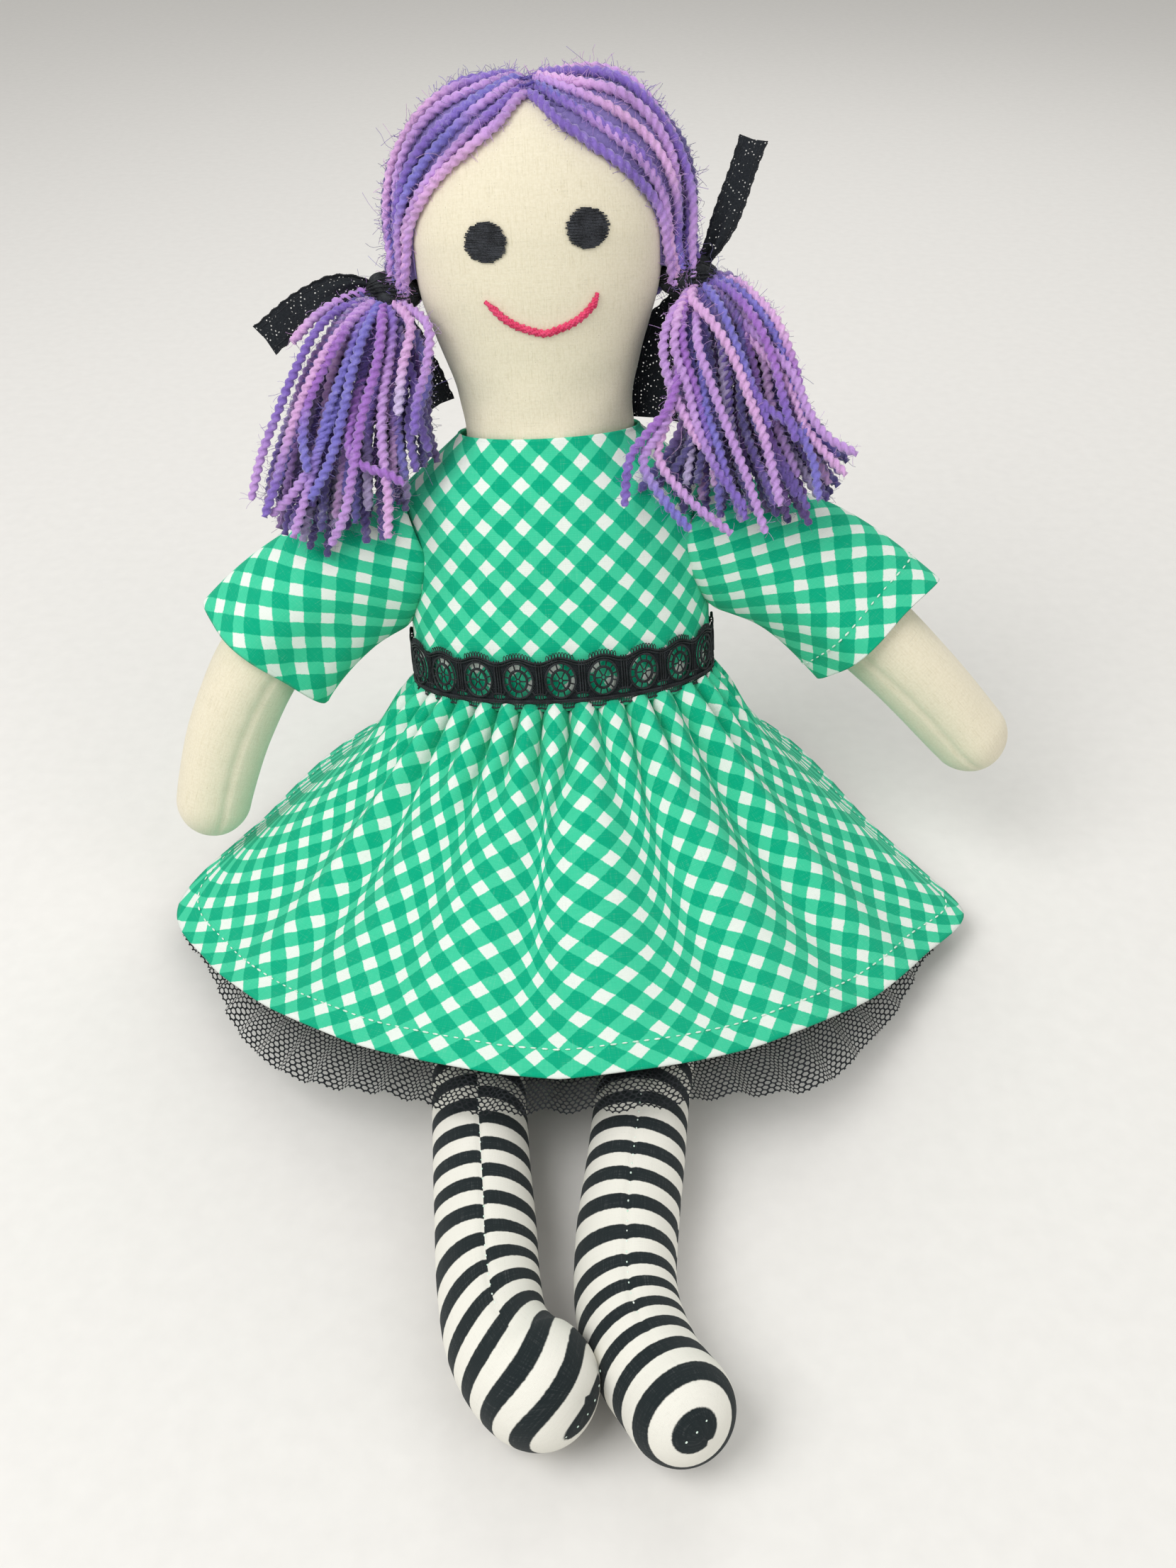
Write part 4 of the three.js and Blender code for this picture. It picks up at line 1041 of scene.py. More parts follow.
def pushed_out(points, middle, radius):
    """Points kept out of a ball: those inside it move to its surface"""
    off = points - middle
    away = np.linalg.norm(off, axis=-1, keepdims=True)
    return np.where(away < radius, middle + off / away * radius, points)


def make_torso():
    heights = np.concatenate([np.linspace(-14, 20, 12), np.linspace(24, 205.6, 66)])
    angles = around(96)
    back = SEAT_BULGE * (1 - smoothstep(heights, 0, WAIST_HEIGHT))[:, None]
    lumps = 0.5 * ripple(heights[:, None] / 17, 3 * angles[None, :], seed=4)
    grid = upright_grid(torso_width(heights), torso_depth(heights), heights, angles, lumps, back)
    world = leaned(grid)
    for side in (-1, 1):
        world = pushed_out(world, hip_joint(side), LEG_RADIUS + 0.6)
        world = pushed_out(world, leaned(shoulder_joint(side)), ARM_RADIUS + 0.4)
    world[..., 2] = np.maximum(world[..., 2], 0)
    ends = [world[0].mean(0), world[-1].mean(0)]
    torso = grid_object("torso_cloth", world, panels(grid), CALICO, ends=ends)
    return wear(torso, "upper_body", "calico", "torso")


# How far the neck has widened into the head, by share of the way up to the crown
BULB = [(0, 0), (0.13, 0), (0.27, 0.1), (0.4, 0.29), (0.55, 0.53), (0.75, 0.83), (1, 1)]


def head_size(z, lift=0.0):
    share = np.clip((np.asarray(z, float) - TORSO_HEIGHT) / (CROWN_BASE - TORSO_HEIGHT), 0, 1)
    widening = smooth_line(BULB, share)
    rise = np.clip((z - CROWN_BASE) / (CROWN_HEIGHT + lift), 0, 1)
    dome = np.sqrt(np.maximum(0, 1 - rise**2))
    width = (lerp(NECK_WIDTH, HEAD_WIDTH, widening) / 2 + lift) * dome
    depth = (lerp(NECK_DEPTH, HEAD_DEPTH, widening) / 2 + lift) * dome
    return width, depth


def face_point(x, z, lift=0.0):
    """Point on the front of the head, over a place seen from straight in front"""
    width, depth = head_size(z, lift)
    y = -depth * np.sqrt(np.maximum(0, 1 - (x / width) ** 2))
    return np.stack(np.broadcast_arrays(x, y, z), -1)


def make_head():
    neck = np.linspace(TORSO_HEIGHT - 1.5, CROWN_BASE, 70, endpoint=False)
    dome = CROWN_BASE + CROWN_HEIGHT * np.sin(np.linspace(0, math.pi / 2, 46, endpoint=False))
    heights = np.concatenate([neck, dome])
    angles = around(160)
    width, depth = head_size(np.maximum(heights, TORSO_HEIGHT))
    low = 1 - smoothstep(heights, TORSO_HEIGHT, TORSO_HEIGHT + 50)
    lumps = 0.35 * ripple(heights[:, None] / 16, 2 * angles[None, :], seed=9)
    lumps = lumps + 0.7 * low[:, None] * ripple(heights[:, None] / 7, 4 * angles[None, :], seed=12)
    seam = np.exp(-((np.cos(angles)[None, :] ** 2 - 1) ** 2) / 0.0004) * 0.7
    rise = np.clip((heights - CROWN_BASE) / CROWN_HEIGHT, 0, 1)
    dome_fade = np.sqrt(np.maximum(0, 1 - rise**2))[:, None]
    grid = upright_grid(width, depth, heights, angles, (lumps - seam) * dome_fade, 0)
    ends = leaned([[0, 0, TORSO_HEIGHT - 1.5], [0, 0, HEAD_TOP]])
    head = grid_object("head_cloth", leaned(grid), panels(grid), CALICO, ends=ends)
    return wear(head, "upper_body", "calico", "head")


EYE_STITCHES = 27
MOUTH_STITCHES = 20


def make_eye(side):
    """Satin stitches laid side by side over a low pad, ragged where they enter the cloth"""
    dice = np.random.default_rng(20 + side)
    middle_x = side * EYE_SPACING / 2 + FACE_SHIFT
    level = EYE_LEVEL + side * EYE_TILT / 2
    rings = np.linspace(0.02, 1, 9)[:, None]
    turn = around(40)[None, :]
    x = middle_x + rings * (EYE_WIDTH / 2 - 0.5) * np.cos(turn)
    z = level + rings * (EYE_HEIGHT / 2 - 0.4) * np.sin(turn)
    pad = face_point(x, z)
    pad[..., 1] -= 0.75 * np.sqrt(np.maximum(0, 1 - rings**2)) + 0.1
    flat = rounded(np.stack([x - middle_x, z - level], -1))
    name = SIDES[side]
    base = grid_object(f"eye_pad_{name}", leaned(pad), flat, EYE_THREAD, flip=True)
    lines = []
    for k in range(EYE_STITCHES):
        rise = lerp(-1, 1, (k + 0.5) / EYE_STITCHES)
        half = EYE_WIDTH / 2 * math.sqrt(1 - rise**2)
        ends = half + dice.uniform(-0.5, 0.7, 2)
        slope = dice.uniform(-0.35, 0.35)
        across = np.linspace(-ends[0], ends[1], 9)
        height = level + rise * EYE_HEIGHT / 2 + slope * across / half * 0.6
        line = face_point(middle_x + across, height)
        crown = np.sqrt(np.maximum(0, 1 - (across / (half + 0.8)) ** 2))
        line[:, 1] -= 0.25 + 0.85 * crown * math.sqrt(1 - rise**2 * 0.8)
        lines.append(leaned(line))
    twist = {"step": 0.5, "turn_length": 1.4, "pinch": 0.7, "sides": 6, "seed": 30 + side}
    eye = yarn(f"eye_stitches_{name}", lines, [0.36] * EYE_STITCHES, EYE_THREAD, **twist)
    wear(base, "upper_body", "black_thread")
    return wear(eye, "upper_body", "black_thread", f"eye_{name}")


def make_mouth():
    """Stem stitch: slanted stitches that overlap along an arc"""
    half = MOUTH_WIDTH / 2
    radius = (half**2 + MOUTH_SAG**2) / (2 * MOUTH_SAG)
    centre = np.array([2.0, MOUTH_TOP - MOUTH_SAG + radius])
    spread = math.asin(half / radius)
    lines = []
    for k in range(MOUTH_STITCHES):
        first, last = k / (MOUTH_STITCHES + 1), min(1, (k + 2.1) / (MOUTH_STITCHES + 1))
        turn = np.linspace(lerp(-spread, spread, first), lerp(-spread, spread, last), 7)
        share = np.linspace(0, 1, 7)
        out = radius + lerp(0.9, -0.9, share) + 0.8 * np.exp(-((turn / 0.16) ** 2))
        line = face_point(centre[0] + out * np.sin(turn), centre[1] - out * np.cos(turn))
        line[:, 1] -= 0.15 + 0.95 * np.sin(share * math.pi)
        lines.append(leaned(line))
    twist = {"step": 0.4, "turn_length": 2.0, "pinch": 0.62, "sides": 8, "seed": 44}
    mouth = yarn("mouth_stitches", lines, [0.98] * MOUTH_STITCHES, MOUTH_THREAD, **twist)
    return wear(mouth, "upper_body", "pink_thread", "mouth")


def tube_stations(length, first, last, body_rows, cap_rows):
    """Shares of the way and ring scales of a tube with round ends"""
    turn = np.linspace(0.06, 1, cap_rows) * math.pi / 2
    start = np.stack([first * (1 - np.cos(turn)) / length, np.sin(turn)], 1)
    body = np.linspace(first / length, 1 - last / length, body_rows + 2)[1:-1]
    middle = np.stack([body, np.ones(body_rows)], 1)
    end = np.stack([1 - last * (1 - np.cos(turn[::-1])) / length, np.sin(turn[::-1])], 1)
    return np.vstack([start, middle, end]).T


def stuffed_tube(route, radii, across, rows=90, columns=72, caps=14):
    """Grid of a stuffed tube; its first column lies along `across`, and columns turn round the way"""
    share, scale = tube_stations(route.length, radii(0.0), radii(1.0), rows, caps)
    centre, along = route.at(share), route.along(share)
    side = unit(np.cross(np.asarray(across, float), along))
    rise = unit(np.cross(along, side))
    radius = radii(share) * scale
    turn = around(columns)
    rim = side[:, None] * np.cos(turn)[None, :, None] + rise[:, None] * np.sin(turn)[None, :, None]
    return centre[:, None] + rim * radius[:, None, None], rim, share


def tube_uv(grid, radius, slant=0.0):
    """Flat places of a tube cut from one piece: round it, and along its surface"""
    rows, columns = grid.shape[:2]
    u = np.broadcast_to(np.linspace(0, 2 * math.pi * radius, columns + 1), (rows, columns + 1))
    v = column_lengths(grid).mean(1)[:, None] + slant * np.linspace(-0.5, 0.5, columns + 1)[None, :]
    return np.stack([u, v], -1)


def seam_groove(turn, seam_turn, gone, spacing, widths, depth):
    """Groove along a tube's seam: sharp in the middle, and shallow and puckered beside it"""
    near = np.angle(np.exp(1j * (turn - seam_turn)))
    sharp, wide = (np.exp(-((near / width) ** 2))[None, :] for width in widths)
    return 0.9 * sharp + depth * wide * (1 + 0.5 * np.sin(gone / spacing)[:, None])


# Ways of the limbs from their joints, out to the side, back and up, as shares of a limb's length
ARM_WAYS = {
    1: [
        (0.198, -0.019, -0.116), (0.392, -0.039, -0.284), (0.547, -0.058, -0.445), (0.65, -0.071, -0.568),
        (0.734, -0.084, -0.671),
    ],
    -1: [
        (0.192, -0.019, -0.123), (0.359, -0.039, -0.258), (0.472, -0.065, -0.439), (0.54, -0.09, -0.616),
        (0.582, -0.103, -0.768),
    ],
}


def make_arm(side):
    shoulder = shoulder_joint(side)
    onward = shoulder + np.array(ARM_WAYS[side]) * (side, 1, 1) * ARM_LENGTH
    outward = unit(onward[0] - shoulder)
    route = Route([shoulder - outward * ARM_RADIUS, shoulder, *onward])
    swell = [(0, 0), (0.15, 0), (0.4, 0.9), (0.65, 0.4), (1, HAND_RADIUS - ARM_RADIUS)]
    grid, rim, share = stuffed_tube(route, lambda s: ARM_RADIUS + smooth_line(swell, s), (0, 1, 0))
    turn = around(grid.shape[1])
    lumps = 0.45 * ripple(share[:, None] * 9, 2 * turn[None, :], seed=50 + side)
    groove = seam_groove(turn, 1.5 * math.pi + side * 0.5, share * route.length, 2.1, (0.07, 0.3), 0.3)
    inside = smoothstep(share, 0.02, 0.08)[:, None] * (1 - smoothstep(share, 0.96, 0.999))[:, None]
    grid = grid + rim * ((lumps - groove) * inside)[..., None]
    name = SIDES[side]
    ends = leaned(route.at(np.array([0.0, 1.0])))
    arm = grid_object(f"arm_{name}_cloth", leaned(grid), tube_uv(grid, ARM_RADIUS), CALICO, ends=ends)
    return wear(arm, f"arm_{name}", "calico", f"arm_{name}")


# ---- striped legs


LEG_WAYS = {
    1: [
        (-0.016, -0.204, 0.001), (-0.047, -0.429, 0.001), (-0.076, -0.673, 0.002), (-0.075, -0.792, 0.005),
        (-0.053, -0.861, 0.012), (-0.022, -0.914, 0.02), (0.016, -0.984, 0.049),
    ],
    -1: [
        (-0.008, -0.204, 0.001), (0.004, -0.429, 0.001), (0.024, -0.633, 0.001), (0.035, -0.743, 0.003),
        (0.056, -0.829, 0.011), (0.098, -0.886, 0.02), (0.168, -0.932, 0.057),
    ],
}
LEG_SLANT = {1: 0.0, -1: STRIPE_PAIR / 2}
FOOT_SIZES = {1: FOOT_RADIUS * 0.88, -1: FOOT_RADIUS}
# Ends of each toe seam in millimetres, and how far along a pair of stripes the cloth starts there
TOE_SEAMS = {
    1: ((33.0, -281.0, 29.0), (40.0, -276.0, 33.5), 0.46, 0.8),
    -1: ((-5.0, -277.5, 22.0), (7.5, -256.0, 27.0), 0.34, 0.42),
}


def toe_seam(route, foot, seam):
    """Points along the short seam that closes the toe, on the round end of the foot, and the way out there"""
    middle = route.at(np.array(1 - foot / route.length))
    first, last = np.array(seam[0]), np.array(seam[1])
    out = unit(lerp(first, last, np.linspace(0, 1, 14)[:, None]) - middle)
    return middle + out * (foot + 0.2), out


def foot_stripes(grid, share, along, seam, start, roundness):
    """Lengthways places of the cloth, which on the foot count back from the toe seam in oval rings"""
    lengthways = unit(seam[-1] - seam[0])
    away = grid - seam.mean(axis=0)
    away = away - (away @ lengthways)[..., None] * lengthways * (1 - roundness)
    away = rounded(np.linalg.norm(away, axis=-1))
    away = away * (0.74 + 0.0075 * away)
    ankle = np.searchsorted(share, 0.8)
    meeting = float((along[ankle] + away[ankle]).mean())
    foot = (round(meeting / STRIPE_PAIR - start) + start) * STRIPE_PAIR - away
    return lerp(along, foot, smoothstep(share, 0.66, 0.92)[:, None])


def make_leg(side):
    hip = hip_joint(side)
    route = Route([hip + (0, LEG_RADIUS, 0), hip, *(hip + np.array(LEG_WAYS[side]) * LEG_LENGTH)])
    foot = FOOT_SIZES[side]
    swell = [(0, LEG_RADIUS), (0.4, LEG_RADIUS + 0.3), (0.82, LEG_RADIUS), (0.92, foot - 1.5), (1, foot)]
    radii = lambda s: smooth_line(swell, s)
    grid, rim, share = stuffed_tube(route, radii, (0, 0, 1), rows=150, columns=80, caps=22)
    turn = around(grid.shape[1])
    lumps = 0.5 * ripple(share[:, None] * 14, 2 * turn[None, :], seed=60 + side)
    groove = seam_groove(turn, math.pi / 2, share * route.length, 2.4, (0.06, 0.3), 0.35)
    inside = smoothstep(share, 0.02, 0.08)[:, None] * (1 - smoothstep(share, 0.8, 0.93))[:, None]
    grid = grid + rim * ((lumps - groove) * inside)[..., None]
    grid[..., 2] = np.maximum(grid[..., 2], 0)
    quarter = grid.shape[1] // 4
    grid, rim = np.roll(grid, -quarter, 1), np.roll(rim, -quarter, 1)
    flat = tube_uv(grid, LEG_RADIUS, LEG_SLANT[side])
    toe, out = toe_seam(route, foot, TOE_SEAMS[side])
    flat[..., 1] = foot_stripes(grid, share, flat[..., 1], toe, *TOE_SEAMS[side][2:])
    name = SIDES[side]
    ends = route.at(np.array([0.0, 1.0]))
    leg = grid_object(f"leg_{name}_cloth", grid, flat, STRIPED, ends=ends)
    low, high = np.searchsorted(share, (0.25, 0.84))
    seam, ups = grid[low:high, 0], rim[low:high, 0]
    lines = [seam + ups * 0.1, toe[2:-1]]
    thread = stitches(f"leg_{name}_stitches", lines, [ups, out[2:-1]], SEWING_THREAD, 3.9, 0.9, 0.65, seed=15)
    wear(thread, f"leg_{name}", "striped_cotton")
    return wear(leg, f"leg_{name}", "striped_cotton", f"leg_{name}")


# ---- dress


BODICE_SNUG = 1.9
NECK_ROLL = 0.9
ARMHOLE_GAP = 2.2


def bodice_size(z, lift=0.0):
    z = np.asarray(z, float)
    chest = smooth_line([(WAIST_HEIGHT, 0), (WAIST_HEIGHT + 16, 0), (150, 1), (SHOULDER_SEAM, 1)], z)
    shoulder = np.clip((z - SHOULDER_SEAM) / (NECKLINE - SHOULDER_SEAM), 0, 1)
    width = np.maximum(WAIST_WIDTH / 2, torso_width(z) + BODICE_LOOSENESS * chest)
    depth = lerp(WAIST_DEPTH / 2, torso_depth(z) + BODICE_LOOSENESS / 2, smoothstep(z, WAIST_HEIGHT, 150))
    width = lerp(width, NECK_WIDTH / 2 + BODICE_SNUG, shoulder)
    depth = lerp(depth, NECK_DEPTH / 2 + BODICE_SNUG, shoulder)
    width = np.maximum(width, torso_width(z) + BODICE_SNUG) + lift
    return width, np.maximum(depth, torso_depth(z) + BODICE_SNUG) + lift


def bodice_creases(x, z, front):
    """Soft creases that run from the armholes towards the waist"""
    high = smoothstep(z, 112, 130) * (1 - smoothstep(z, 186, 204))
    pull = ripple(x / 13, z / 34, seed=71, low=0.6, high=1.3)
    droop = np.exp(-(((np.abs(x) - 44) / 15) ** 2)) * np.sin((z + 0.55 * np.abs(x)) / 7.5)
    return high * (0.9 * pull + 0.7 * droop) * front


def bodice_point(turn, z, lift=0.0):
    width, depth = bodice_size(z, lift)
    x = width * np.cos(turn)
    crease = bodice_creases(x, z, 0.4 + 0.6 * (np.sin(turn) < 0))
    y = (depth + crease) * np.sin(turn)
    return np.stack(np.broadcast_arrays(x, y, z), -1)


def make_bodice():
    """Cloth from the waist to the neckline, which is rolled over inwards, left open where the arms go in"""
    columns = 200
    front = columns * 3 // 4
    turn = around(columns)
    edge = NECKLINE - NECK_ROLL
    grid = bodice_point(turn[None, :], np.linspace(WAIST_HEIGHT + 0.3, edge, 92)[:, None])
    rolled = []
    for angle in np.linspace(0, math.pi, 8)[1:]:
        rolled.append(bodice_point(turn, np.full(columns, edge), -0.75 + 0.75 * math.cos(angle)))
        rolled[-1][:, 2] += NECK_ROLL * math.sin(angle)
    for down in (2.5, 5.0, 8.0):
        rolled.append(bodice_point(turn, np.full(columns, edge - down), -1.6))
    grid = np.concatenate([grid, np.array(rolled)])
    keep = np.ones((len(grid) - 1, columns), bool)
    for side in (-1, 1):
        near = np.linalg.norm(grid - shoulder_joint(side), axis=-1) < ARM_RADIUS + ARMHOLE_GAP
        near = near & np.roll(near, -1, 1)
        keep &= ~(near[:-1] & near[1:])
    u = row_lengths(grid)
    u = u - u[:, front : front + 1]
    v = column_lengths(grid)[:, front : front + 1] + 0 * u
    bodice = grid_object("bodice_cloth", leaned(grid), np.stack([u, v], -1), GINGHAM, keep=keep)
    thicken(bodice, CLOTH)
    return wear(bodice, "upper_body", "gingham", "bodice")


# Ways of the sleeves from the shoulder joints, as shares of their length
SLEEVE_WAYS = {
    1: [(0.378, -0.026, -0.197), (0.812, -0.066, -0.566), (1.088, -0.118, -0.908)],
    -1: [(0.338, -0.026, -0.184), (0.746, -0.066, -0.513), (0.983, -0.118, -0.882)],
}


# Two shares of a sleeve's route, where it starts to follow its arm and where it follows it wholly; make_sleeve finds
# the points there but does not use them
SLEEVE_BEND = (0.12, 0.33)


def sleeve_route(side):
    shoulder = shoulder_joint(side)
    start = np.array([side * (SHOULDER_X - ARM_RADIUS), 0, SHOULDER_HEIGHT + 2])
    return Route([start, *(shoulder + np.array(SLEEVE_WAYS[side]) * (side, 1, 1) * SLEEVE_LENGTH)])


def sleeve_point(route, share, turn, lift=0.0):
    """Sleeve surface by share of its length and turn round it: turn 0 is its upper edge"""
    share, turn = np.broadcast_arrays(np.asarray(share, float), np.asarray(turn, float))
    knot = np.clip(share * 2 / 3, 0, 1)
    centre = route.at_knot(knot)
    step = 0.004
    along = unit(route.at_knot(np.minimum(knot + step, 1)) - route.at_knot(np.maximum(knot - step, 0)))
    up = unit(np.cross(np.array([0.0, 1.0, 0.0]), along))
    back = np.cross(along, up)
    wide = lerp(ARMHOLE_HEIGHT, SLEEVE_WIDTH, np.clip(share, 0, 1.1)) / 2 + lift
    deep = SLEEVE_DEPTH / 2 + lift
    grow = smoothstep(share, 0.1, 1.0)
    pinch = 1 + grow * (0.05 * np.maximum(0, -np.cos(turn)) ** 6 - 0.04 * np.maximum(0, np.cos(turn)) ** 4)
    folds = grow * (1.4 * np.cos(5 * turn + 0.6) + 1.2 * np.cos(3 * turn + 2.2 + 1.5 * share))
    creases = 0.8 * ripple(share * 3.5, 2.0 * np.cos(turn), 2.0 * np.sin(turn), seed=81)
    radius = folds + creases * smoothstep(share, 0.05, 0.3)
    x = (wide * pinch + radius) * np.cos(turn)
    y = (deep + radius) * np.sin(turn)
    return centre + up * x[..., None] + back * y[..., None]


def outside_bodice(points):
    width, depth = bodice_size(np.clip(points[..., 2], WAIST_HEIGHT, NECKLINE - 0.5))
    return (points[..., 0] / width) ** 2 + (points[..., 1] / depth) ** 2 >= 1


def ring_of(points):
    return np.vstack([points, points[:1]])


def make_sleeve(side):
    """Flared sleeve that starts where it comes out of the bodice, with its hem turned in"""
    name = SIDES[side]
    route = sleeve_route(side)
    columns, rows = 120, 46
    turn = around(columns)
    near, far = np.zeros(columns), np.full(columns, 0.7)
    for _ in range(20):
        middle = (near + far) / 2
        out = outside_bodice(sleeve_point(route, middle, turn))
        near, far = np.where(out, near, middle), np.where(out, middle, far)
    start = far - 0.004
    place = np.linspace(0, 1, rows)[:, None]
    share = start[None, :] + (1 - start[None, :]) * place
    dip = 1.3 * np.exp(-((place * (1 - start[None, :]) * SLEEVE_LENGTH / 2.2) ** 2))
    grid = sleeve_point(route, share, turn[None, :], 0.3 - dip)
    hem = 1 + 0.04 * np.maximum(0, -np.cos(turn)) ** 4 - 0.03 * np.maximum(0, np.cos(turn)) ** 4
    last = sleeve_point(route, share * lerp(1, hem[None, :], place**2), turn[None, :], 0.3 - dip)
    grid = lerp(grid, last, place[..., None])
    lip = grid[-1:] + unit(grid[-1:] - grid[-2:-1]) * 0.5
    whole = [grid, lip]
    for share, lift in ((0.97, -0.9), (0.86, -1.0)):
        whole.append(sleeve_point(route, share, turn[None, :], lift))
    whole = np.concatenate(whole)
    gone = row_lengths(whole)
    widest = gone[rows - 1]
    u = (np.broadcast_to(widest, gone.shape) - widest[columns // 4]) * (0.92 if side > 0 else 0.84)
    v = column_lengths(whole)
    v = rounded(v - v[rows - 1]) + (0 if side > 0 else 0.14) * u
    flat = np.stack([u, v], -1)
    sleeve = grid_object(f"sleeve_{name}_cloth", leaned(whole), flat, GINGHAM, flip=side < 0)
    thicken(sleeve, CLOTH)
    sleeve = settled(sleeve)
    line = grid[-8]
    outward = normals_of(grid)[-8]
    outward = outward * np.sign(((line - line.mean(0)) * outward).sum(-1, keepdims=True))
    seam, ups = (leaned(ring_of(points)) for points in (line + outward * 0.35, outward))
    thread = stitches(f"sleeve_{name}_stitches", [seam], [ups], SEWING_THREAD, 4.1, 2.5, 0.75)
    first, last = leaned(route.at_knot(np.array(SLEEVE_BEND))) * MM
    for piece in (sleeve, thread):
        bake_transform(piece)
    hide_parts(f"sleeve_{name}")
    return sleeve


# ---- skirt and petticoat


# How far the hem reaches from the waist by degrees from the front, as a share of its reach in front
HEM_OUTLINE = [
    (0, 1), (38, 0.947), (58, 0.957), (72, 0.979), (83, 0.856), (94, 0.77), (110, 0.727), (145, 0.717),
    (180, 0.717),
]


def waist_ring(turn, out, height):
    """Points round the oval waist, pushed out from it and raised over it"""
    x, y = (WAIST_WIDTH / 2 + out) * np.cos(turn), (WAIST_DEPTH / 2 + out) * np.sin(turn)
    return np.stack([x, y, np.broadcast_to(WAIST_HEIGHT + height, turn.shape)], -1)


def from_front(angle):
    degrees = np.degrees(angle) + 90
    return np.abs((degrees + 540) % 360 - 180)


def front_share(angle):
    return np.cos(np.radians(np.minimum(1.15 * from_front(angle), 90))) ** 2


def drape(angle, share):
    """Point of the skirt's smooth fall by angle round the waist and share of the way down"""
    angle, share = np.broadcast_arrays(np.asarray(angle, float), np.asarray(share, float))
    waist = leaned(waist_ring(angle, 0, -0.35))
    centre = leaned([0, 0, WAIST_HEIGHT])
    reach = SKIRT_REACH * smooth_line(HEM_OUTLINE, from_front(angle))
    hem_z = HEM_HEIGHT + LAP_HEIGHT * front_share(angle)
    settle = lerp(1.2, 1.55, front_share(angle))
    left = 1 - share
    fall = np.sign(left) * np.abs(left) ** settle
    x = waist[..., 0] + (centre[0] + reach * np.cos(angle) - waist[..., 0]) * share
    y = waist[..., 1] + (centre[1] + reach * np.sin(angle) - waist[..., 1]) * share
    return np.stack([x, y, hem_z + (waist[..., 2] - hem_z) * fall], -1)


def way_gone(points):
    """Length of the way from the first point to each point"""
    return np.concatenate([[0], np.cumsum(np.linalg.norm(np.diff(points, axis=0), axis=1))])


def angles_by_length(share):
    """Angles round the skirt at one share of its fall, from the back's middle, with the share of the length
    round it that lies before each"""
    angle = np.linspace(math.pi / 2, 2.5 * math.pi, 721)
    gone = way_gone(drape(angle, share))
    return angle, gone / gone[-1]


def fold_turn(angle):
    """Turn of the folds at an angle round the waist: they crowd together in three places"""
    turn = angle
    for _ in range(5):
        turn = angle + FOLD_CROWDING * np.sin(3 * turn)
    return turn


# Height of the main folds from the waist to the hem, as a share of the greatest
FOLD_GROWTH = [(0, 0), (0.2, 0.7), (0.4, 1), (0.7, 0.75), (1, 0.35)]
WAIST_GATHER = 3.3


def fold_phase(angle):
    return 1.8 * ripple(3 * angle, seed=23)


def gathered_cloth(columns, rows, extra, inset, pleats):
    """Grid and flat places of cloth gathered at the waist. Two fine gathers there run into each main fold,
    and the cloth between them turns under. `extra` is how much further than the hem it falls, `inset` how
    far inside the skirt it lies, and `pleats` the height of its own small folds near the edge."""
    s = np.linspace(0, 1, columns, endpoint=False)
    grid = []
    for row in range(rows + 1):
        down = row / rows
        angle_at, gone = angles_by_length(down)
        angle = np.interp(s, gone, angle_at)
        wander = 0.5 * np.sin(5 * angle + 1) + 0.4 * np.sin(8 * angle + 2)
        fine = 2 * FOLD_COUNT * fold_turn(angle) + wander
        broad = FOLD_COUNT * fold_turn(angle) + fold_phase(angle)
        away = from_front(angle)
        beside = smoothstep(away, 46, 68) * (1 - smoothstep(away, 130, 165))
        tucked = lerp(0.92, 0.0, smoothstep(down, 0.02, 0.32))
        deep = 0.7 * smoothstep(down, 0.05, 0.3) * (1 - 0.85 * smoothstep(down, 0.45, 0.95))
        deep = deep * (1 - 0.65 * smoothstep(away, 28, 58)) * (0.75 + 0.7 * ripple(5 * angle, seed=31))
        shift = tucked * np.sin(fine) / 2 + deep * np.sin(broad)
        shift = shift * (1 - 0.85 * beside * smoothstep(down, 0.03, 0.15))
        angle = np.interp((s + shift / (2 * math.pi * FOLD_COUNT)) % 1.0, gone, angle_at)
        turn = fold_turn(angle)
        reach = down * (1 + extra(angle))
        point = drape(angle, reach)
        step = 1e-3
        normal = unit(np.cross(drape(angle, reach + step) - point, drape(angle + step, reach) - point))
        uneven = 1 + 0.3 * ripple(7 * angle, seed=13)
        calm = 1 - 0.85 * beside
        fade = lerp(1.0, 0.1, smoothstep(down, 0.08, 0.42)) * (1 - 0.75 * smoothstep(down, 0.75, 1.0))
        rise = WAIST_GATHER * fade * uneven * np.cos(fine) * lerp(1.0, calm, smoothstep(down, 0.05, 0.25))
        main = FOLD_HEIGHT / 2 * smooth_line(FOLD_GROWTH, down)
        level = (0.62 + 0.75 * ripple(4 * angle, seed=17)) * (1 - 0.5 * smoothstep(down, 0.6, 1.0))
        rise = rise + main * level * calm * np.cos(FOLD_COUNT * turn + fold_phase(angle))
        drift = ripple(3.2 * angle, 2.6 * down, seed=19) * smoothstep(down, 0.2, 0.55)
        rise = rise + 4.2 * drift * (1 - 0.5 * smoothstep(down, 0.75, 1.0)) * lerp(1.0, calm, 0.6)
        rise = rise + pleats * smoothstep(down, 0.75, 1.0) * np.sin(4 * FOLD_COUNT * turn + 1.5 * wander)
        grid.append(point + normal * (rise - inset)[..., None])
    grid = np.array(grid)
    u = np.broadcast_to(np.linspace(0, SKIRT_WIDTH, columns + 1), (rows + 1, columns + 1))
    v = column_lengths(grid)
    v = v - v[-1]
    near = 15
    kernel = np.ones(2 * near + 1) / (2 * near + 1)
    v = [np.convolve(np.concatenate([line[-near:], line, line[:near]]), kernel, "valid") for line in v]
    return grid, np.stack([u, rounded(np.array(v))], -1)


GATHERED_COLUMNS = 720


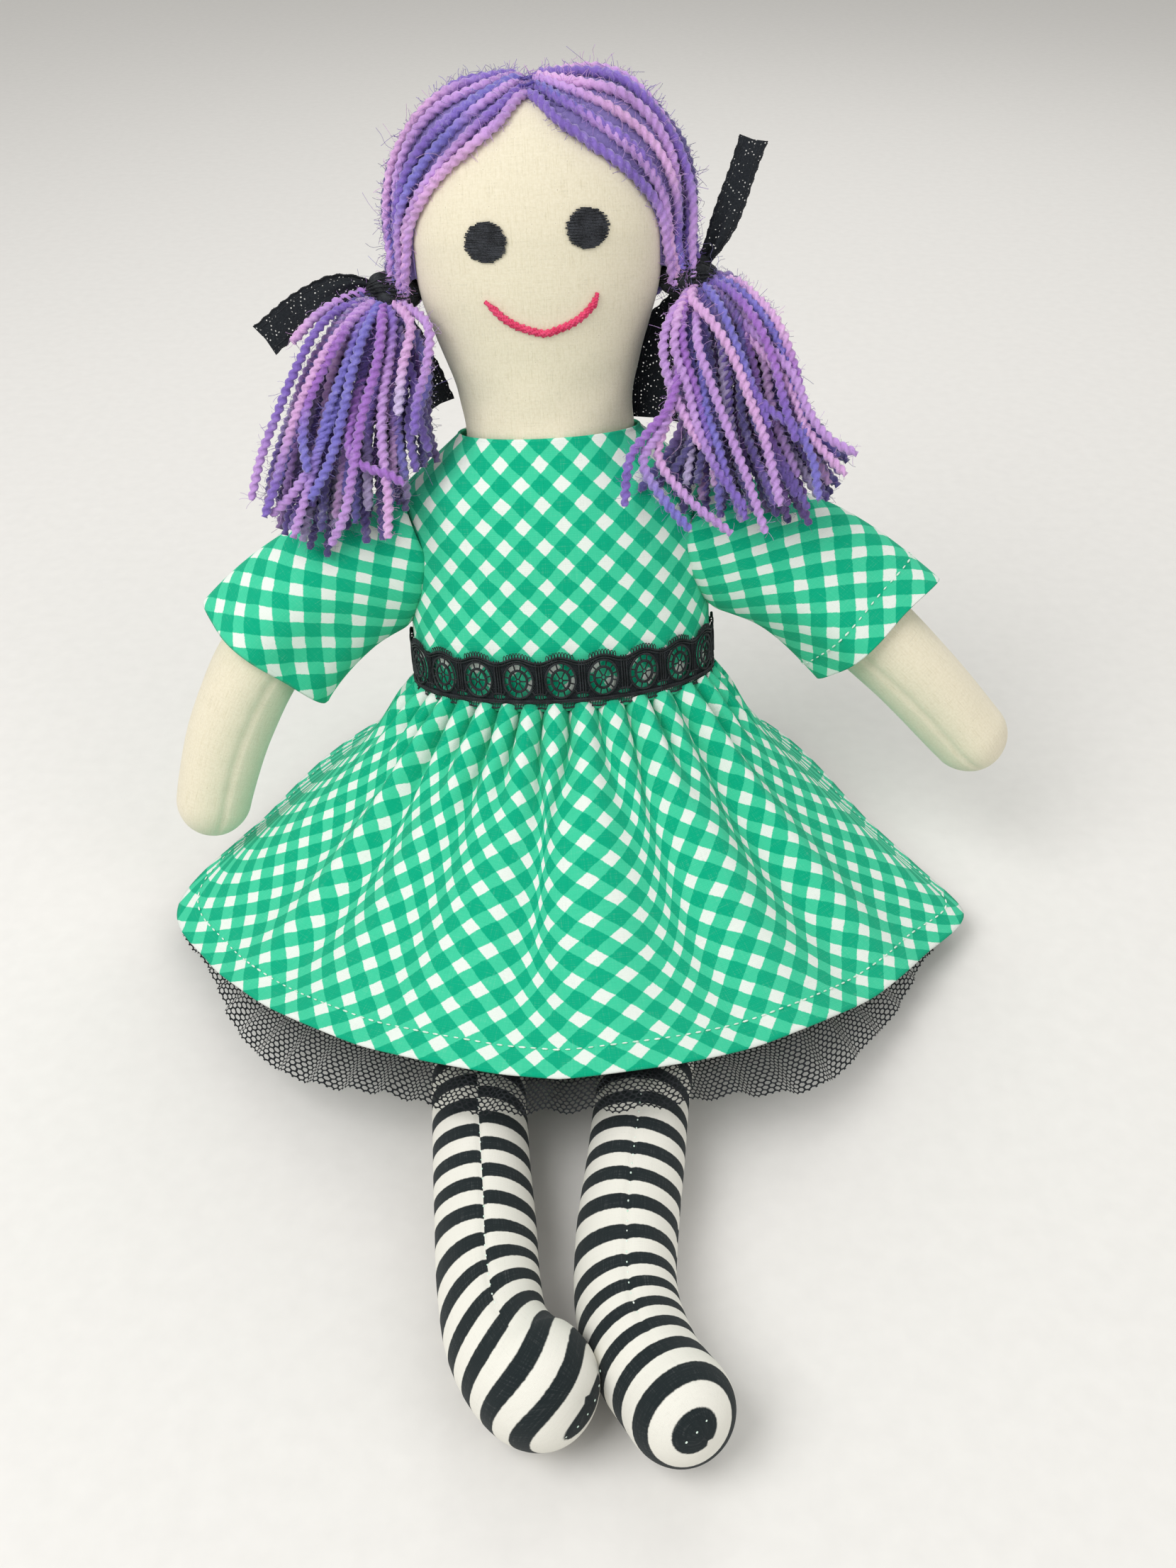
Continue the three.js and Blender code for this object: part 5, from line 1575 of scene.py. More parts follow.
def curl_corners(grid):
    """The hem's corner on the doll's right curls up and over, and the one on its left stands a little"""
    for corner, pull in (((-176.0, 2.0, 8.0), (9.0, -5.0, 13.0)), ((158.0, -14.0, 8.0), (5.0, -11.0, 1.0))):
        away = np.linalg.norm((grid - corner) * (1.0, 1.0, 0.4), axis=-1)
        grid = grid + np.exp(-((away / 26) ** 2))[..., None] * np.array(pull)
    return grid


def make_skirt():
    grid, flat = gathered_cloth(GATHERED_COLUMNS, 60, lambda angle: 0 * angle, 0.0, 0.0)
    grid = curl_corners(grid)
    grid[..., 2] = np.maximum(grid[..., 2], 1.2)
    skirt = grid_object("skirt_cloth", grid, flat, GINGHAM, flip=True)
    thicken(skirt, CLOTH)
    row = int(np.argmin(np.abs(flat[:, 0, 1] + STITCH_LINE)))
    outward = -normals_of(grid)[row]
    outward = outward * np.sign(outward[:, 2:3] + 1e-6)
    seam, ups = ring_of(grid[row] + outward * 0.4), ring_of(outward)
    thread = stitches("hem_stitches", [seam], [ups], SEWING_THREAD, 4.2, 2.6, 0.75, seed=8)
    wear(thread, "upper_body", "gingham")
    return wear(skirt, "upper_body", "gingham", "skirt")


# How far the net shows past the hem by degrees from the front, as a share of PETTICOAT_SHOW
PETTICOAT_EDGE = [(0, 0.73), (18, 0.95), (34, 1.3), (44, 0.9), (54, 0.3), (64, 0), (180, 0)]


def petticoat_show(angle):
    """How far the net shows past the hem, as a share of the skirt's fall: most beside the thighs"""
    shown = smooth_line(PETTICOAT_EDGE, from_front(angle)) * (1 + 0.12 * ripple(14 * angle, seed=29))
    return PETTICOAT_SHOW / SKIRT_REACH * shown


def make_petticoat():
    """Net under the skirt, with small folds of its own at the edge"""
    grid, flat = gathered_cloth(GATHERED_COLUMNS, 48, petticoat_show, PETTICOAT_DROP, 2.2)
    grid[..., 2] = np.maximum(grid[..., 2], 0.5)
    net = grid_object("petticoat_net", grid, flat, NET, flip=True)
    return wear(net, "upper_body", "net", "petticoat")


# ---- lace sash


def oval_way(half_width, half_depth):
    """Turns round an oval and the length of the way to each"""
    turn = np.linspace(0, 2 * math.pi, 721)
    return turn, way_gone(np.stack([half_width * np.cos(turn), half_depth * np.sin(turn)], -1))


SASH_LIFT = 1.2
SASH_START = -0.8
SASH_OVAL = (WAIST_WIDTH / 2 + SASH_LIFT, WAIST_DEPTH / 2 + SASH_LIFT)
SASH_WAY = oval_way(*SASH_OVAL)
SASH_ROUND = SASH_WAY[1][-1]
MOTIFS = round(SASH_ROUND / SASH_MOTIF)
MOTIF_PITCH = SASH_ROUND / MOTIFS
EYELET_MIDDLE = 12.0
EYELET_STRETCH = 1.2
SASH_TOP = 20.6
SCALLOP = 1.1


def motif_lines():
    """Threads of one motif, flat: across from its middle, up from the sash's lower edge, and standing out"""
    lines, girths = [], []
    half = MOTIF_PITCH / 2

    def draw(points, girth, out=0.35):
        points = np.asarray(points, float)
        lines.append(np.hstack([points, np.full((len(points), 1), out)]))
        girths.append(girth)

    def ring(across, up, count, girth, out=0.35):
        turn = np.radians(np.linspace(0, 360, count))
        draw(np.stack([across * np.cos(turn), EYELET_MIDDLE + up * np.sin(turn)], 1), girth, out)

    def spokes(first, step, reaches):
        for degrees in range(first, 360, step):
            x, y = math.cos(math.radians(degrees)), EYELET_STRETCH * math.sin(math.radians(degrees))
            draw([(r * x, EYELET_MIDDLE + r * y) for r in reaches], 0.34)

    def band(height, count, girth, out=0.4):
        rim = np.linspace(-half, half, count)
        draw(np.stack([rim, height(rim)], 1), girth, out)

    # Eyelet: a ring of small cells round a black ring with a flower in it
    ring(6.1, 7.4, 30, 0.45)
    ring(3.7, 4.5, 25, 0.62)
    spokes(15, 30, (3.7, 6.1))
    spokes(0, 60, (0.8, 2.2, 3.6))
    ring(0.9, 1.0, 9, 0.3, 0.5)
    # Dense ground between the eyelets: close upright threads
    for x in (-half + 0.1, -half + 1.1, half - 1.0):
        draw([(x, 3.4), (x + 0.15, 9), (x, 15), (x - 0.1, 20.4)], 0.3, 0.15)
    # Picot loops above the eyelet, on a scalloped edge
    edge = lambda x: SASH_TOP + SCALLOP * np.cos(x / half * math.pi)
    band(edge, 17, 0.42)
    band(lambda x: edge(x) - 1.2, 17, 0.3, 0.35)
    loop = np.array([(-0.42, 0), (-0.5, 1.3), (-0.2, 2.2), (0.2, 2.2), (0.5, 1.3), (0.42, 0)])
    for k in range(9):
        x = (k - 4) * 1.25
        draw(loop + (x, float(edge(x))), 0.2, 0.4)
    # Lower cord band and ladder edging
    band(lambda x: 3.5 + 0 * x, 13, 0.45)
    band(lambda x: 2.7 + 0 * x, 13, 0.35)
    band(lambda x: 0.35 + 0.25 * np.cos(x * 4 * math.pi / half), 13, 0.38)
    rungs = 16
    for k in range(rungs):
        x = -half + (k + 0.2) * 2 * half / rungs
        draw([(x, 0.4), (x + 0.5, 2.7)], 0.2)
    for end in (-1, 1):
        draw([(end * half, 6.6), (end * (half - 2.2), 6.2), (end * (half - 3.0), 7.6)], 0.3)
    return lines, girths


def sash_turns(count):
    """Even steps round the sash: the way gone, and the turn there"""
    turn, gone = SASH_WAY
    place = np.arange(count) / count * SASH_ROUND
    return place, np.interp(place, gone, turn)


def make_sash():
    """Net ground with scalloped top, and the threads of the motifs over it"""
    place, turn = sash_turns(MOTIFS * 12)
    motif_place = (place / MOTIF_PITCH + 0.5) % 1.0 - 0.5
    top = SASH_TOP + SCALLOP * np.cos(motif_place * 2 * math.pi)
    heights = [SASH_START + lerp(2.6, top, share) for share in np.linspace(0, 1, 9)]
    grid = np.array([waist_ring(turn, SASH_LIFT - 0.35, height) for height in heights])
    u = np.broadcast_to(np.append(place, SASH_ROUND) - MOTIF_PITCH / 2, (9, len(place) + 1))
    v = rounded(grid[..., 2]) - WAIST_HEIGHT - SASH_START
    ground = grid_object("sash_ground", leaned(grid), np.stack([u, v], -1), SASH_GROUND)
    threads = grown(
        "sash_threads",
        guide_mesh("sash_motif", *motif_lines()),
        WRAPPED_LACE,
        motifs=MOTIFS,
        pitch=MOTIF_PITCH * MM,
        half_width=SASH_OVAL[0] * MM,
        half_depth=SASH_OVAL[1] * MM,
        base=(0, 0, (WAIST_HEIGHT + SASH_START) * MM),
        lean=LEAN.to_euler(),
        material=LACE_THREAD,
    )
    wear(threads, "upper_body", "sash_lace")
    return wear(ground, "upper_body", "sash_lace", "lace_sash")


def make_binding():
    """Plain green edge of the bodice that shows under the sash"""
    turn = sash_turns(240)[1]
    section = ((-2.6, -0.3), (-2.2, 0.4), (-1.2, 0.6), (-0.2, 0.5), (0.4, -0.1))
    grid = np.array([waist_ring(turn, out, height) for height, out in section])
    flat = np.stack([row_lengths(grid), rounded(grid[..., 2])], -1)
    binding = grid_object("waist_binding", leaned(grid), flat, PLAIN_GREEN)
    return wear(binding, "upper_body", "gingham")


def make_back_opening():
    """Overlap of the bodice's back, with press studs under it"""
    heights = np.linspace(WAIST_HEIGHT + SASH_HEIGHT + 2, NECKLINE - 5, 44)[:, None]
    across = np.linspace(6.4, -6.4, 15)[None, :]
    width, depth = bodice_size(heights, 2.75)
    grid = np.stack(np.broadcast_arrays(across, depth * np.sqrt(1 - (across / width) ** 2), heights), -1)
    flat = grid[..., [0, 2]]
    placket = grid_object("back_overlap", leaned(grid), flat, GINGHAM, closed=False)
    thicken(placket, CLOTH)
    edge = grid[:, 2] + (0, 0.3, 0)
    ups = np.broadcast_to(np.array([0.0, 1.0, 0.0]), edge.shape)
    thread = stitches("back_stitches", [leaned(edge)], [leaned(ups)], SEWING_THREAD, 3.4, 2.2, 0.6, seed=21)
    wear(thread, "upper_body", "gingham")
    return wear(placket, "upper_body", "gingham", "back_placket")


def finish_studs():
    for name in ("press_stud_lower", "press_stud_upper"):
        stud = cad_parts[name]
        for k in range(len(stud.material_slots)):
            stud.material_slots[k].material = STEEL


# ---- yarn hair


HEAD_CORE = np.array([0.0, 0.0, CROWN_BASE])
VIOLET, LILAC, PERIWINKLE = srgb("8066BA"), srgb("BC93D4"), srgb("7A72C4")
DEEP, PINK, PALE, MAGENTA = srgb("575084"), srgb("D4A6D8"), srgb("CDBCE2"), srgb("A06EC2")


def over_head(directions, lift):
    """Points over the head's skin, in directions from the middle of the crown"""
    directions = np.asarray(directions, float)
    near = np.zeros(directions.shape[:-1])
    far = np.full(directions.shape[:-1], float(HEAD_HEIGHT))
    for _ in range(26):
        reach = (near + far) / 2
        point = HEAD_CORE + directions * reach[..., None]
        width, depth = head_size(point[..., 2])
        x, y = point[..., 0] / np.maximum(width, 1e-6), point[..., 1] / np.maximum(depth, 1e-6)
        inside = (width > 0) & (x**2 + y**2 < 1)
        near, far = np.where(inside, reach, near), np.where(inside, far, reach)
    return HEAD_CORE + directions * (near + lift)[..., None]


def gather_skin(height):
    return float(head_size(TORSO_HEIGHT + height)[0])


def knot_centre(side):
    """Middle of the tied ribbon, which the pull of the pigtail holds a little away from the head"""
    away = gather_skin(KNOT_LEVEL - TORSO_HEIGHT) + KNOT_RADIUS + KNOT_PULL
    return np.array([side * away, -2, KNOT_LEVEL + 1.5])


def strand_direction(side, across, along):
    """Direction of a strand: `across` goes from hairline to nape, `along` from the parting to the gather"""
    across, along = np.broadcast_arrays(np.asarray(across, float), np.asarray(along, float))
    angle = lerp(HAIRLINE_ANGLE, NAPE_ANGLE, across)
    start = np.stack([0 * angle, np.sin(angle), np.cos(angle)], -1)
    out, up = side * gather_skin(GATHER_HEIGHT), TORSO_HEIGHT + GATHER_HEIGHT - CROWN_BASE
    end = unit(np.stack(np.broadcast_arrays(out, lerp(-0.5, 0.5, across) * GATHER_WIDTH, up), -1))
    turn = np.arccos(np.clip((start * end).sum(-1), -1, 1))
    first, second = np.sin((1 - along) * turn) / np.sin(turn), np.sin(along * turn) / np.sin(turn)
    direct = start * first[..., None] + end * second[..., None]
    near_face = np.maximum(0, 1 - across / FACE_SWEEP_WIDTH) ** 2
    direct[..., 1] -= FACE_SWEEP * smooth_line(FACE_SWEEP_ALONG, along) * near_face
    return unit(direct)


def hair_lift(side, across, along):
    """Height of the hair over the head: thickest beside the crown and drawn in towards the knots"""
    drawn_in = 1 - 0.42 * smoothstep(along, 0.55, 0.9)
    full = lerp(PARTING_LIFT, HAIR_LIFT[side], smoothstep(along, 0, 0.36) * drawn_in)
    edge = np.minimum(across, 1 - across) * 12
    return lerp(3.8, full, smoothstep(edge, 0, 1.6))


def hair_point(side, across, along, lift):
    across, along, lift = np.broadcast_arrays(*(np.asarray(v, float) for v in (across, along, lift)))
    point = over_head(strand_direction(side, across, along), lift)
    point[..., 0] += side * PARTING_GAP / 2 * (1 - along)
    return point


# Colours of the strands from the face outwards, at the parting, halfway and at the gather
STRAND_TINTS = {
    -1: [
        (LILAC, PINK, LILAC), (VIOLET, LILAC, PINK), (LILAC, PERIWINKLE, LILAC),
        (PERIWINKLE, VIOLET, VIOLET), (LILAC, LILAC, PINK), (VIOLET, PINK, LILAC),
        (VIOLET, VIOLET, PERIWINKLE), (DEEP, VIOLET, DEEP), (LILAC, DEEP, DEEP),
    ],
    1: [
        (VIOLET, VIOLET, LILAC), (VIOLET, LILAC, LILAC), (PERIWINKLE, VIOLET, PINK),
        (LILAC, PINK, VIOLET), (PINK, LILAC, PERIWINKLE), (VIOLET, VIOLET, LILAC),
        (PINK, LILAC, VIOLET), (LILAC, VIOLET, DEEP), (VIOLET, DEEP, DEEP),
    ],
}
MIXED = [VIOLET, LILAC, PERIWINKLE, DEEP, VIOLET, MAGENTA, PINK, VIOLET, PALE]


def dyed(stops, along, first, last):
    """Colours along a strand from stop to stop; each changes to the next between `first` and `last`"""
    stops = np.array(stops)
    place = np.clip(along, 0, 1) * (len(stops) - 1)
    i = np.minimum(place.astype(int), len(stops) - 2)
    share = smoothstep(place - i, first, last)[:, None]
    return stops[i] * (1 - share) + stops[i + 1] * share


def strand_colours(side, k, along, dice):
    """Colour along one strand: bands of dyed yarn, from the table or drawn at random past its end"""
    table = STRAND_TINTS[side]
    stops = table[k] if k < len(table) else [MIXED[int(dice.integers(len(MIXED)))] for _ in range(3)]
    uneven = 1 + 0.08 * np.sin(along * dice.uniform(8, 20) + dice.uniform(0, 6))
    return dyed(stops, along, 0.25, 0.75) * uneven[:, None]


def loose_hairs(name, lines, tints, core, count, reach, dice):
    """Single long hairs that stand off the yarn, away from `core`, and bend over"""
    hairs, colours = [], []
    for _ in range(count):
        k = int(dice.integers(len(lines)))
        i = int(dice.integers(1, len(lines[k]) - 1))
        root = lines[k][i]
        away = unit(unit(root - core) + dice.normal(0, 0.55, 3))
        onward = unit(lines[k][i + 1] - lines[k][i - 1]) * dice.uniform(-0.5, 1.0) + dice.normal(0, 0.3, 3)
        length = reach * dice.uniform(0.35, 1.0)
        t = np.linspace(0, 1, 7)[:, None]
        wave = dice.normal(0, 0.05, 3) * np.sin(t * dice.uniform(3, 9))
        hairs.append(root + (away * t * (1 - 0.35 * t) + onward * t**2 + wave) * length)
        colours.append(np.repeat(tints[k][i][None, :], 7, 0))
    girths = [0.085] * count
    return yarn(name, hairs, girths, YARN, colours, step=1.0, turn_length=9.0, pinch=1.0, sides=3, seed=count)


def make_hair_cap(side):
    """Strands over one side of the head from the parting to the gather, in layers that sink towards it"""
    name = SIDES[side]
    dice = np.random.default_rng(100 + side)
    lines, tints, girths = [], [], []
    along = np.linspace(-0.012, 1.06, 60)
    for k in range(STRANDS):
        across = (k + 0.5) / STRANDS
        wander = dice.normal(0, 0.005) + 0.006 * np.sin(along * dice.uniform(3, 7) + k)
        place = np.clip(across + wander * (k > 0), 0.006, 0.994)
        layer = (k * 2) % 5 if 2 < k < STRANDS - 3 else 0
        sink = layer * 1.2 * smoothstep(along, 0.3, 0.95)
        lift = hair_lift(side, place, np.clip(along, 0, 1)) - YARN_RADIUS - 0.2 - sink
        lift = lift + 0.7 * np.sin(along * dice.uniform(6, 11) + k) * smoothstep(along, 0.05, 0.3)
        dip = smoothstep(along, -0.012, 0.035)
        lift = lerp(YARN_RADIUS * 0.7, np.maximum(lift, YARN_RADIUS * 0.9), dip)
        lift = lift + KNOT_PULL * 0.7 * smoothstep(along, 0.86, 1.06)
        lines.append(leaned(hair_point(side, place, along, lift)))
        tints.append(strand_colours(side, k, along, dice))
        girth = YARN_RADIUS * dice.uniform(1.08, 1.28) * (1 - 0.1 * smoothstep(along, 0.5, 1.0))
        girths.append(girth * (1 + 0.06 * np.sin(along * 40 + 2 * k)))
    twist = dict(step=1.25, turn_length=7.5, pinch=0.6, sides=9, seed=110 + side)
    hair = yarn(f"hair_{name}_strands", lines, girths, YARN, tints, **twist)
    across = np.linspace(0.012, 0.988, 60)[None, :]
    way = np.linspace(0.0, 1.0, 40)[:, None]
    under = hair_lift(side, across, way) - 1.9 * YARN_RADIUS - 3.0 * smoothstep(way, 0.3, 0.95)
    grid = hair_point(side, across, way, np.where(way < 0.02, 0.6, np.maximum(under, 0.6)))
    flat = np.stack(np.broadcast_arrays(across * 130, way * 110), -1)
    base = grid_object(f"hair_{name}_base", leaned(grid), flat, HAIR_BASE, closed=False, flip=side > 0)
    thicken(base, 0.5)
    nap = dict(density=1.5e5, reach=4.6 * MM, thickness=0.022, seed=7, material=YARN)
    fuzz = grown(f"hair_{name}_fuzz", hair.data.copy(), YARN_FUZZ, **nap)
    loose = loose_hairs(f"hair_{name}_loose", lines, tints, leaned(HEAD_CORE), 150, 15, dice)
    for piece in (base, fuzz, loose):
        wear(piece, "upper_body", "yarn")
    return wear(hair, "upper_body", "yarn", f"hair_cap_{name}")


def make_parting():
    """Thread that holds the strands down: short stitches across the parting and one long line in it"""
    angles = np.linspace(HAIRLINE_ANGLE + 0.02, NAPE_ANGLE, 60)
    lifts = np.full(angles.shape, 1.9)
    way = over_head(np.stack([0 * angles, np.sin(angles), np.cos(angles)], -1), lifts)
    lines, girths = [leaned(way)], [0.75]
    for k in range(0, 58, 3):
        up = unit(way[k] - HEAD_CORE)
        onward = unit(way[k + 1] - way[max(k - 1, 0)])
        x = np.linspace(-2.6, 2.6, 7)[:, None]
        stand = 2.6 if k < 9 else 1.6
        line = way[k] + np.array([1.0, 0, 0]) * x + onward * x * 0.5 + up * (stand + 0.1 * x**2)
        lines.append(leaned(line))
        girths.append(0.7 if k < 9 else 0.55)
    twist = dict(step=0.6, turn_length=2.0, pinch=0.7, sides=7, seed=120)
    seam = yarn("parting_thread", lines, girths, PARTING_THREAD, **twist)
    return wear(seam, "upper_body", "purple_thread", "parting_stitch")


# Outline of each pigtail seen from the front, in millimetres out from its knot and up from it:
# the way of an outer strand, the way of an inner one, and the tips from outer to inner
PIGTAIL_OUTER = {
    1: [(3, -3), (12, -3), (26, -15), (36, -35), (41, -55)],
    -1: [(3, -4), (11, -4), (24, -16), (36, -33), (46, -56)],
}
PIGTAIL_INNER = {
    1: [(-2, -7), (-3, -13), (-6, -26), (-6, -44), (-8, -62)],
    -1: [(-2, -7), (-7, -12), (-12, -22), (-13, -38), (-13, -50)],
}
PIGTAIL_TIPS = {
    1: [(57, -74), (54, -87), (45, -93), (34, -98), (20, -95), (6, -94), (-8, -90), (-24, -81)],
    -1: [(55, -77), (50, -89), (42, -95), (32, -98), (18, -94), (4, -91), (-7, -76), (-16, -62)],
}
# Strands in front that show whole, by their colours from knot to tip and their way
PIGTAIL_FRONT = {
    1: [
        ((LILAC, LILAC, PINK), [(-1, -9), (-5, -15), (-9, -25), (-8, -39), (-2, -54), (4, -66)]),
        ((PINK, LILAC, VIOLET), [(-3, -16), (-5, -28), (-1, -42), (3, -60), (10, -76), (20, -90)]),
        ((PINK, PINK, LILAC), [(2, -9), (9, -19), (17, -33), (23, -50), (28, -65), (33, -90)]),
        ((MAGENTA, MAGENTA, VIOLET), [(-1, -14), (-2, -20), (-1, -32), (3, -46), (7, -66)]),
        ((PERIWINKLE, PERIWINKLE, VIOLET), [(6, -4), (13, -13), (18, -27), (24, -44), (30, -60)]),
        ((VIOLET, MAGENTA, VIOLET), [(10, -2), (20, -10), (27, -22), (33, -38), (36, -52), (40, -66)]),
        ((PERIWINKLE,) * 3, [(12, -1), (23, -9), (31, -20), (37, -33), (42, -51), (44, -66)]),
        ((PINK, PINK, MAGENTA), [(16, -1), (25, -8), (34, -20), (40, -36), (43, -50)]),
        ((VIOLET, LILAC, LILAC), [(39, -40), (45, -55), (52, -65), (63, -72)]),
        ((LILAC, PINK, PINK), [(38, -44), (44, -60), (51, -70), (59, -79)]),
        ((VIOLET, VIOLET, PERIWINKLE), [(22, -42), (30, -53), (40, -61), (46, -72), (48, -88)]),
        ((LILAC, LILAC, LILAC), [(4, -28), (8, -42), (14, -60), (21, -80), (27, -100)]),
        ((LILAC, PINK, LILAC), [(-8, -52), (-13, -68), (-3, -84), (14, -99)]),
        ((LILAC, LILAC, PERIWINKLE), [(-10, -56), (-19, -70), (-11, -86), (-2, -97)]),
        ((VIOLET, MAGENTA, VIOLET), [(-8, -50), (-17, -60), (-24, -69), (-27, -87)]),
        ((VIOLET, PERIWINKLE, VIOLET), [(6, -50), (10, -65), (14, -80), (20, -94)]),
    ],
    -1: [
        ((MAGENTA, LILAC, PINK), [(5, 3), (15, 1), (28, -6), (40, -18)]),
        ((PERIWINKLE,) * 3, [(4, -4), (12, -17), (18, -32), (22, -46), (29, -65), (37, -78)]),
        ((LILAC, MAGENTA, PERIWINKLE), [(12, -6), (20, -17), (28, -29), (35, -42), (38, -55), (37, -68)]),
        ((VIOLET, PERIWINKLE, LILAC), [(14, -14), (20, -28), (28, -45), (35, -66), (45, -92)]),
        ((VIOLET, VIOLET, LILAC), [(18, -4), (30, -14), (41, -32), (48, -46), (55, -61), (60, -77)]),
        ((MAGENTA, MAGENTA, LILAC), [(5, -14), (8, -30), (14, -46), (19, -66), (24, -85), (30, -96)]),
        ((VIOLET, LILAC, PINK), [(1, -10), (3, -26), (7, -43), (8, -60), (7, -77), (8, -94)]),
        ((PINK, PINK, PALE), [(-3, -4), (-6, -14), (-2, -30), (1, -48)]),
        ((LILAC, LILAC, VIOLET), [(-7, -6), (-13, -16), (-11, -32), (-7, -43), (-5, -56)]),
        ((VIOLET, PERIWINKLE, LILAC), [(30, -54), (37, -66), (44, -75), (53, -83)]),
        ((MAGENTA, MAGENTA, MAGENTA), [(20, -62), (14, -67), (6, -70), (0, -74)]),
        ((LILAC, PINK, VIOLET), [(16, -10), (26, -22), (37, -40), (44, -56), (50, -72), (55, -84)]),
    ],
}
PIGTAIL_STRANDS = 56
PIGTAIL_LAYERS = 4


def pigtail_place(side, out, up, depth):
    """Place in the pigtail by millimetres out and up from its knot, seen from the front: it falls forward"""
    out, up = np.asarray(out, float), np.asarray(up, float)
    forward = -3 - 25 * np.clip(-up / 85, 0, 1.2) + 8 * depth * smoothstep(-up, -2, 22)
    rise = (up - VIEW_LEAN[1] * forward) / VIEW_LEAN[0]
    return knot_centre(side) + np.stack([side * out, forward, rise], -1)


def pigtail_strand(side, across, depth, reach, dice):
    """Way of one strand: it leaves the knot outwards, bends over in a rounded shoulder and falls"""
    tables = PIGTAIL_OUTER, PIGTAIL_INNER, PIGTAIL_TIPS
    outer, inner, tips = (np.array(table[side], float) for table in tables)
    places = [i / (len(tips) - 1) for i in range(len(tips))]
    tip = np.array([np.interp(across, places, tips[:, axis]) for axis in (0, 1)])
    way = lerp(outer, inner, across)
    tip = lerp(way[-1], tip, reach)
    way = np.vstack([way, tip]) + np.vstack([np.zeros((1, 2)), dice.normal(0, 1.3, (len(way), 2))])
    return pigtail_place(side, way[:, 0], way[:, 1], depth)


def make_pigtail(side):
    """Layers of strands with painted shade that darkens each layer more the further back it lies, and the strands in
    front that show whole
    """
    name = SIDES[side]
    dice = np.random.default_rng(200 + side)
    lines, tints, girths = [], [], []
    along = np.linspace(0, 1, 50)
    each = PIGTAIL_STRANDS // PIGTAIL_LAYERS
    knot = knot_centre(side)
    for k in range(PIGTAIL_STRANDS):
        layer, place = k // each, k % each
        across = np.clip((place + 0.5 + dice.uniform(-0.4, 0.4)) / each, 0, 1)
        depth = layer / (PIGTAIL_LAYERS - 1) * 2 - 1
        way = pigtail_strand(side, across, depth * 0.9 + 0.1, dice.uniform(0.6, 1.04), dice)
        start = knot + (side * 1.0, -1.0, -1.0) + dice.uniform(-1, 1, 3) * (2.0, 3.0, 2.0)
        lines.append(leaned(Route([start, *way]).at(along)))
        tone = strand_colours(side, 99, along, dice)
        # Painted shade: each hidden strand's dye is mixed towards a colour darker than any yarn, and more so the
        # further back its layer lies
        tints.append(lerp(tone, np.array(DEEP) * 0.85, 0.42 + 0.16 * layer))
    for k, (stops, places) in enumerate(PIGTAIL_FRONT[side]):
        out, up = np.array(places, float).T
        way = pigtail_place(side, out - 4 * smoothstep(-up, 0, 12), up - 3, -1.35 - 0.16 * (k % 3))
        start = knot + (side * lerp(0.0, 2.0, float(out[0] > 0)), -3.0, -2.0)
        lines.append(leaned(Route([start, *way]).at(along)))
        tints.append(dyed(stops, along, 0.2, 0.8))
    end = 1 - smoothstep(along, 0.965, 1.0) * 0.3
    for k in range(len(lines)):
        girths.append(YARN_RADIUS * dice.uniform(1.08, 1.26) * end * (1 + 0.05 * np.sin(along * 60 + k)))
    twist = dict(step=0.95, turn_length=7.0, pinch=0.58, sides=10, seed=210 + side)
    tail = yarn(f"pigtail_{name}_strands", lines, girths, YARN, tints, **twist)
    nap = dict(density=1.0e5, reach=4.2 * MM, thickness=0.02, seed=9, material=YARN)
    fuzz = grown(f"pigtail_{name}_fuzz", tail.data.copy(), YARN_FUZZ, **nap)
    middle = leaned(pigtail_place(side, 16, -40, 0.3))
    loose = loose_hairs(f"pigtail_{name}_loose", lines, tints, middle, 110, 12, dice)
    for piece in (fuzz, loose):
        wear(piece, f"pigtail_{name}", "yarn")
    return wear(tail, f"pigtail_{name}", "yarn", f"pigtail_{name}")


# ---- lace ribbons


# Side, way from the knot in lengths of the ribbon, direction across the ribbon, and share of its width
RIBBON_TAILS = {
    "ribbon_tail_up_left": (
        1, [(0.14, -0.017, 0.19), (0.29, 0.042, 0.5), (0.41, 0.083, 0.8)], (1, -0.6, 0), 0.68,
    ),
    "ribbon_tail_down_left": (
        1, [(-0.09, 0.05, -0.2), (-0.22, 0.06, -0.5), (-0.27, 0.067, -0.9)], (1, -0.3, 0), 1.3,
    ),
    "ribbon_tail_out_right": (
        -1, [(-0.2, -0.06, 0.06), (-0.48, -0.14, -0.02), (-0.78, -0.28, -0.22)], (0, 0.3, 1), 0.74,
    ),
    "ribbon_tail_down_right": (
        -1, [(0.083, 0.033, -0.233), (0.183, 0, -0.467), (0.283, -0.017, -0.717)], (0.7, 0.6, 0), 0.8,
    ),
}


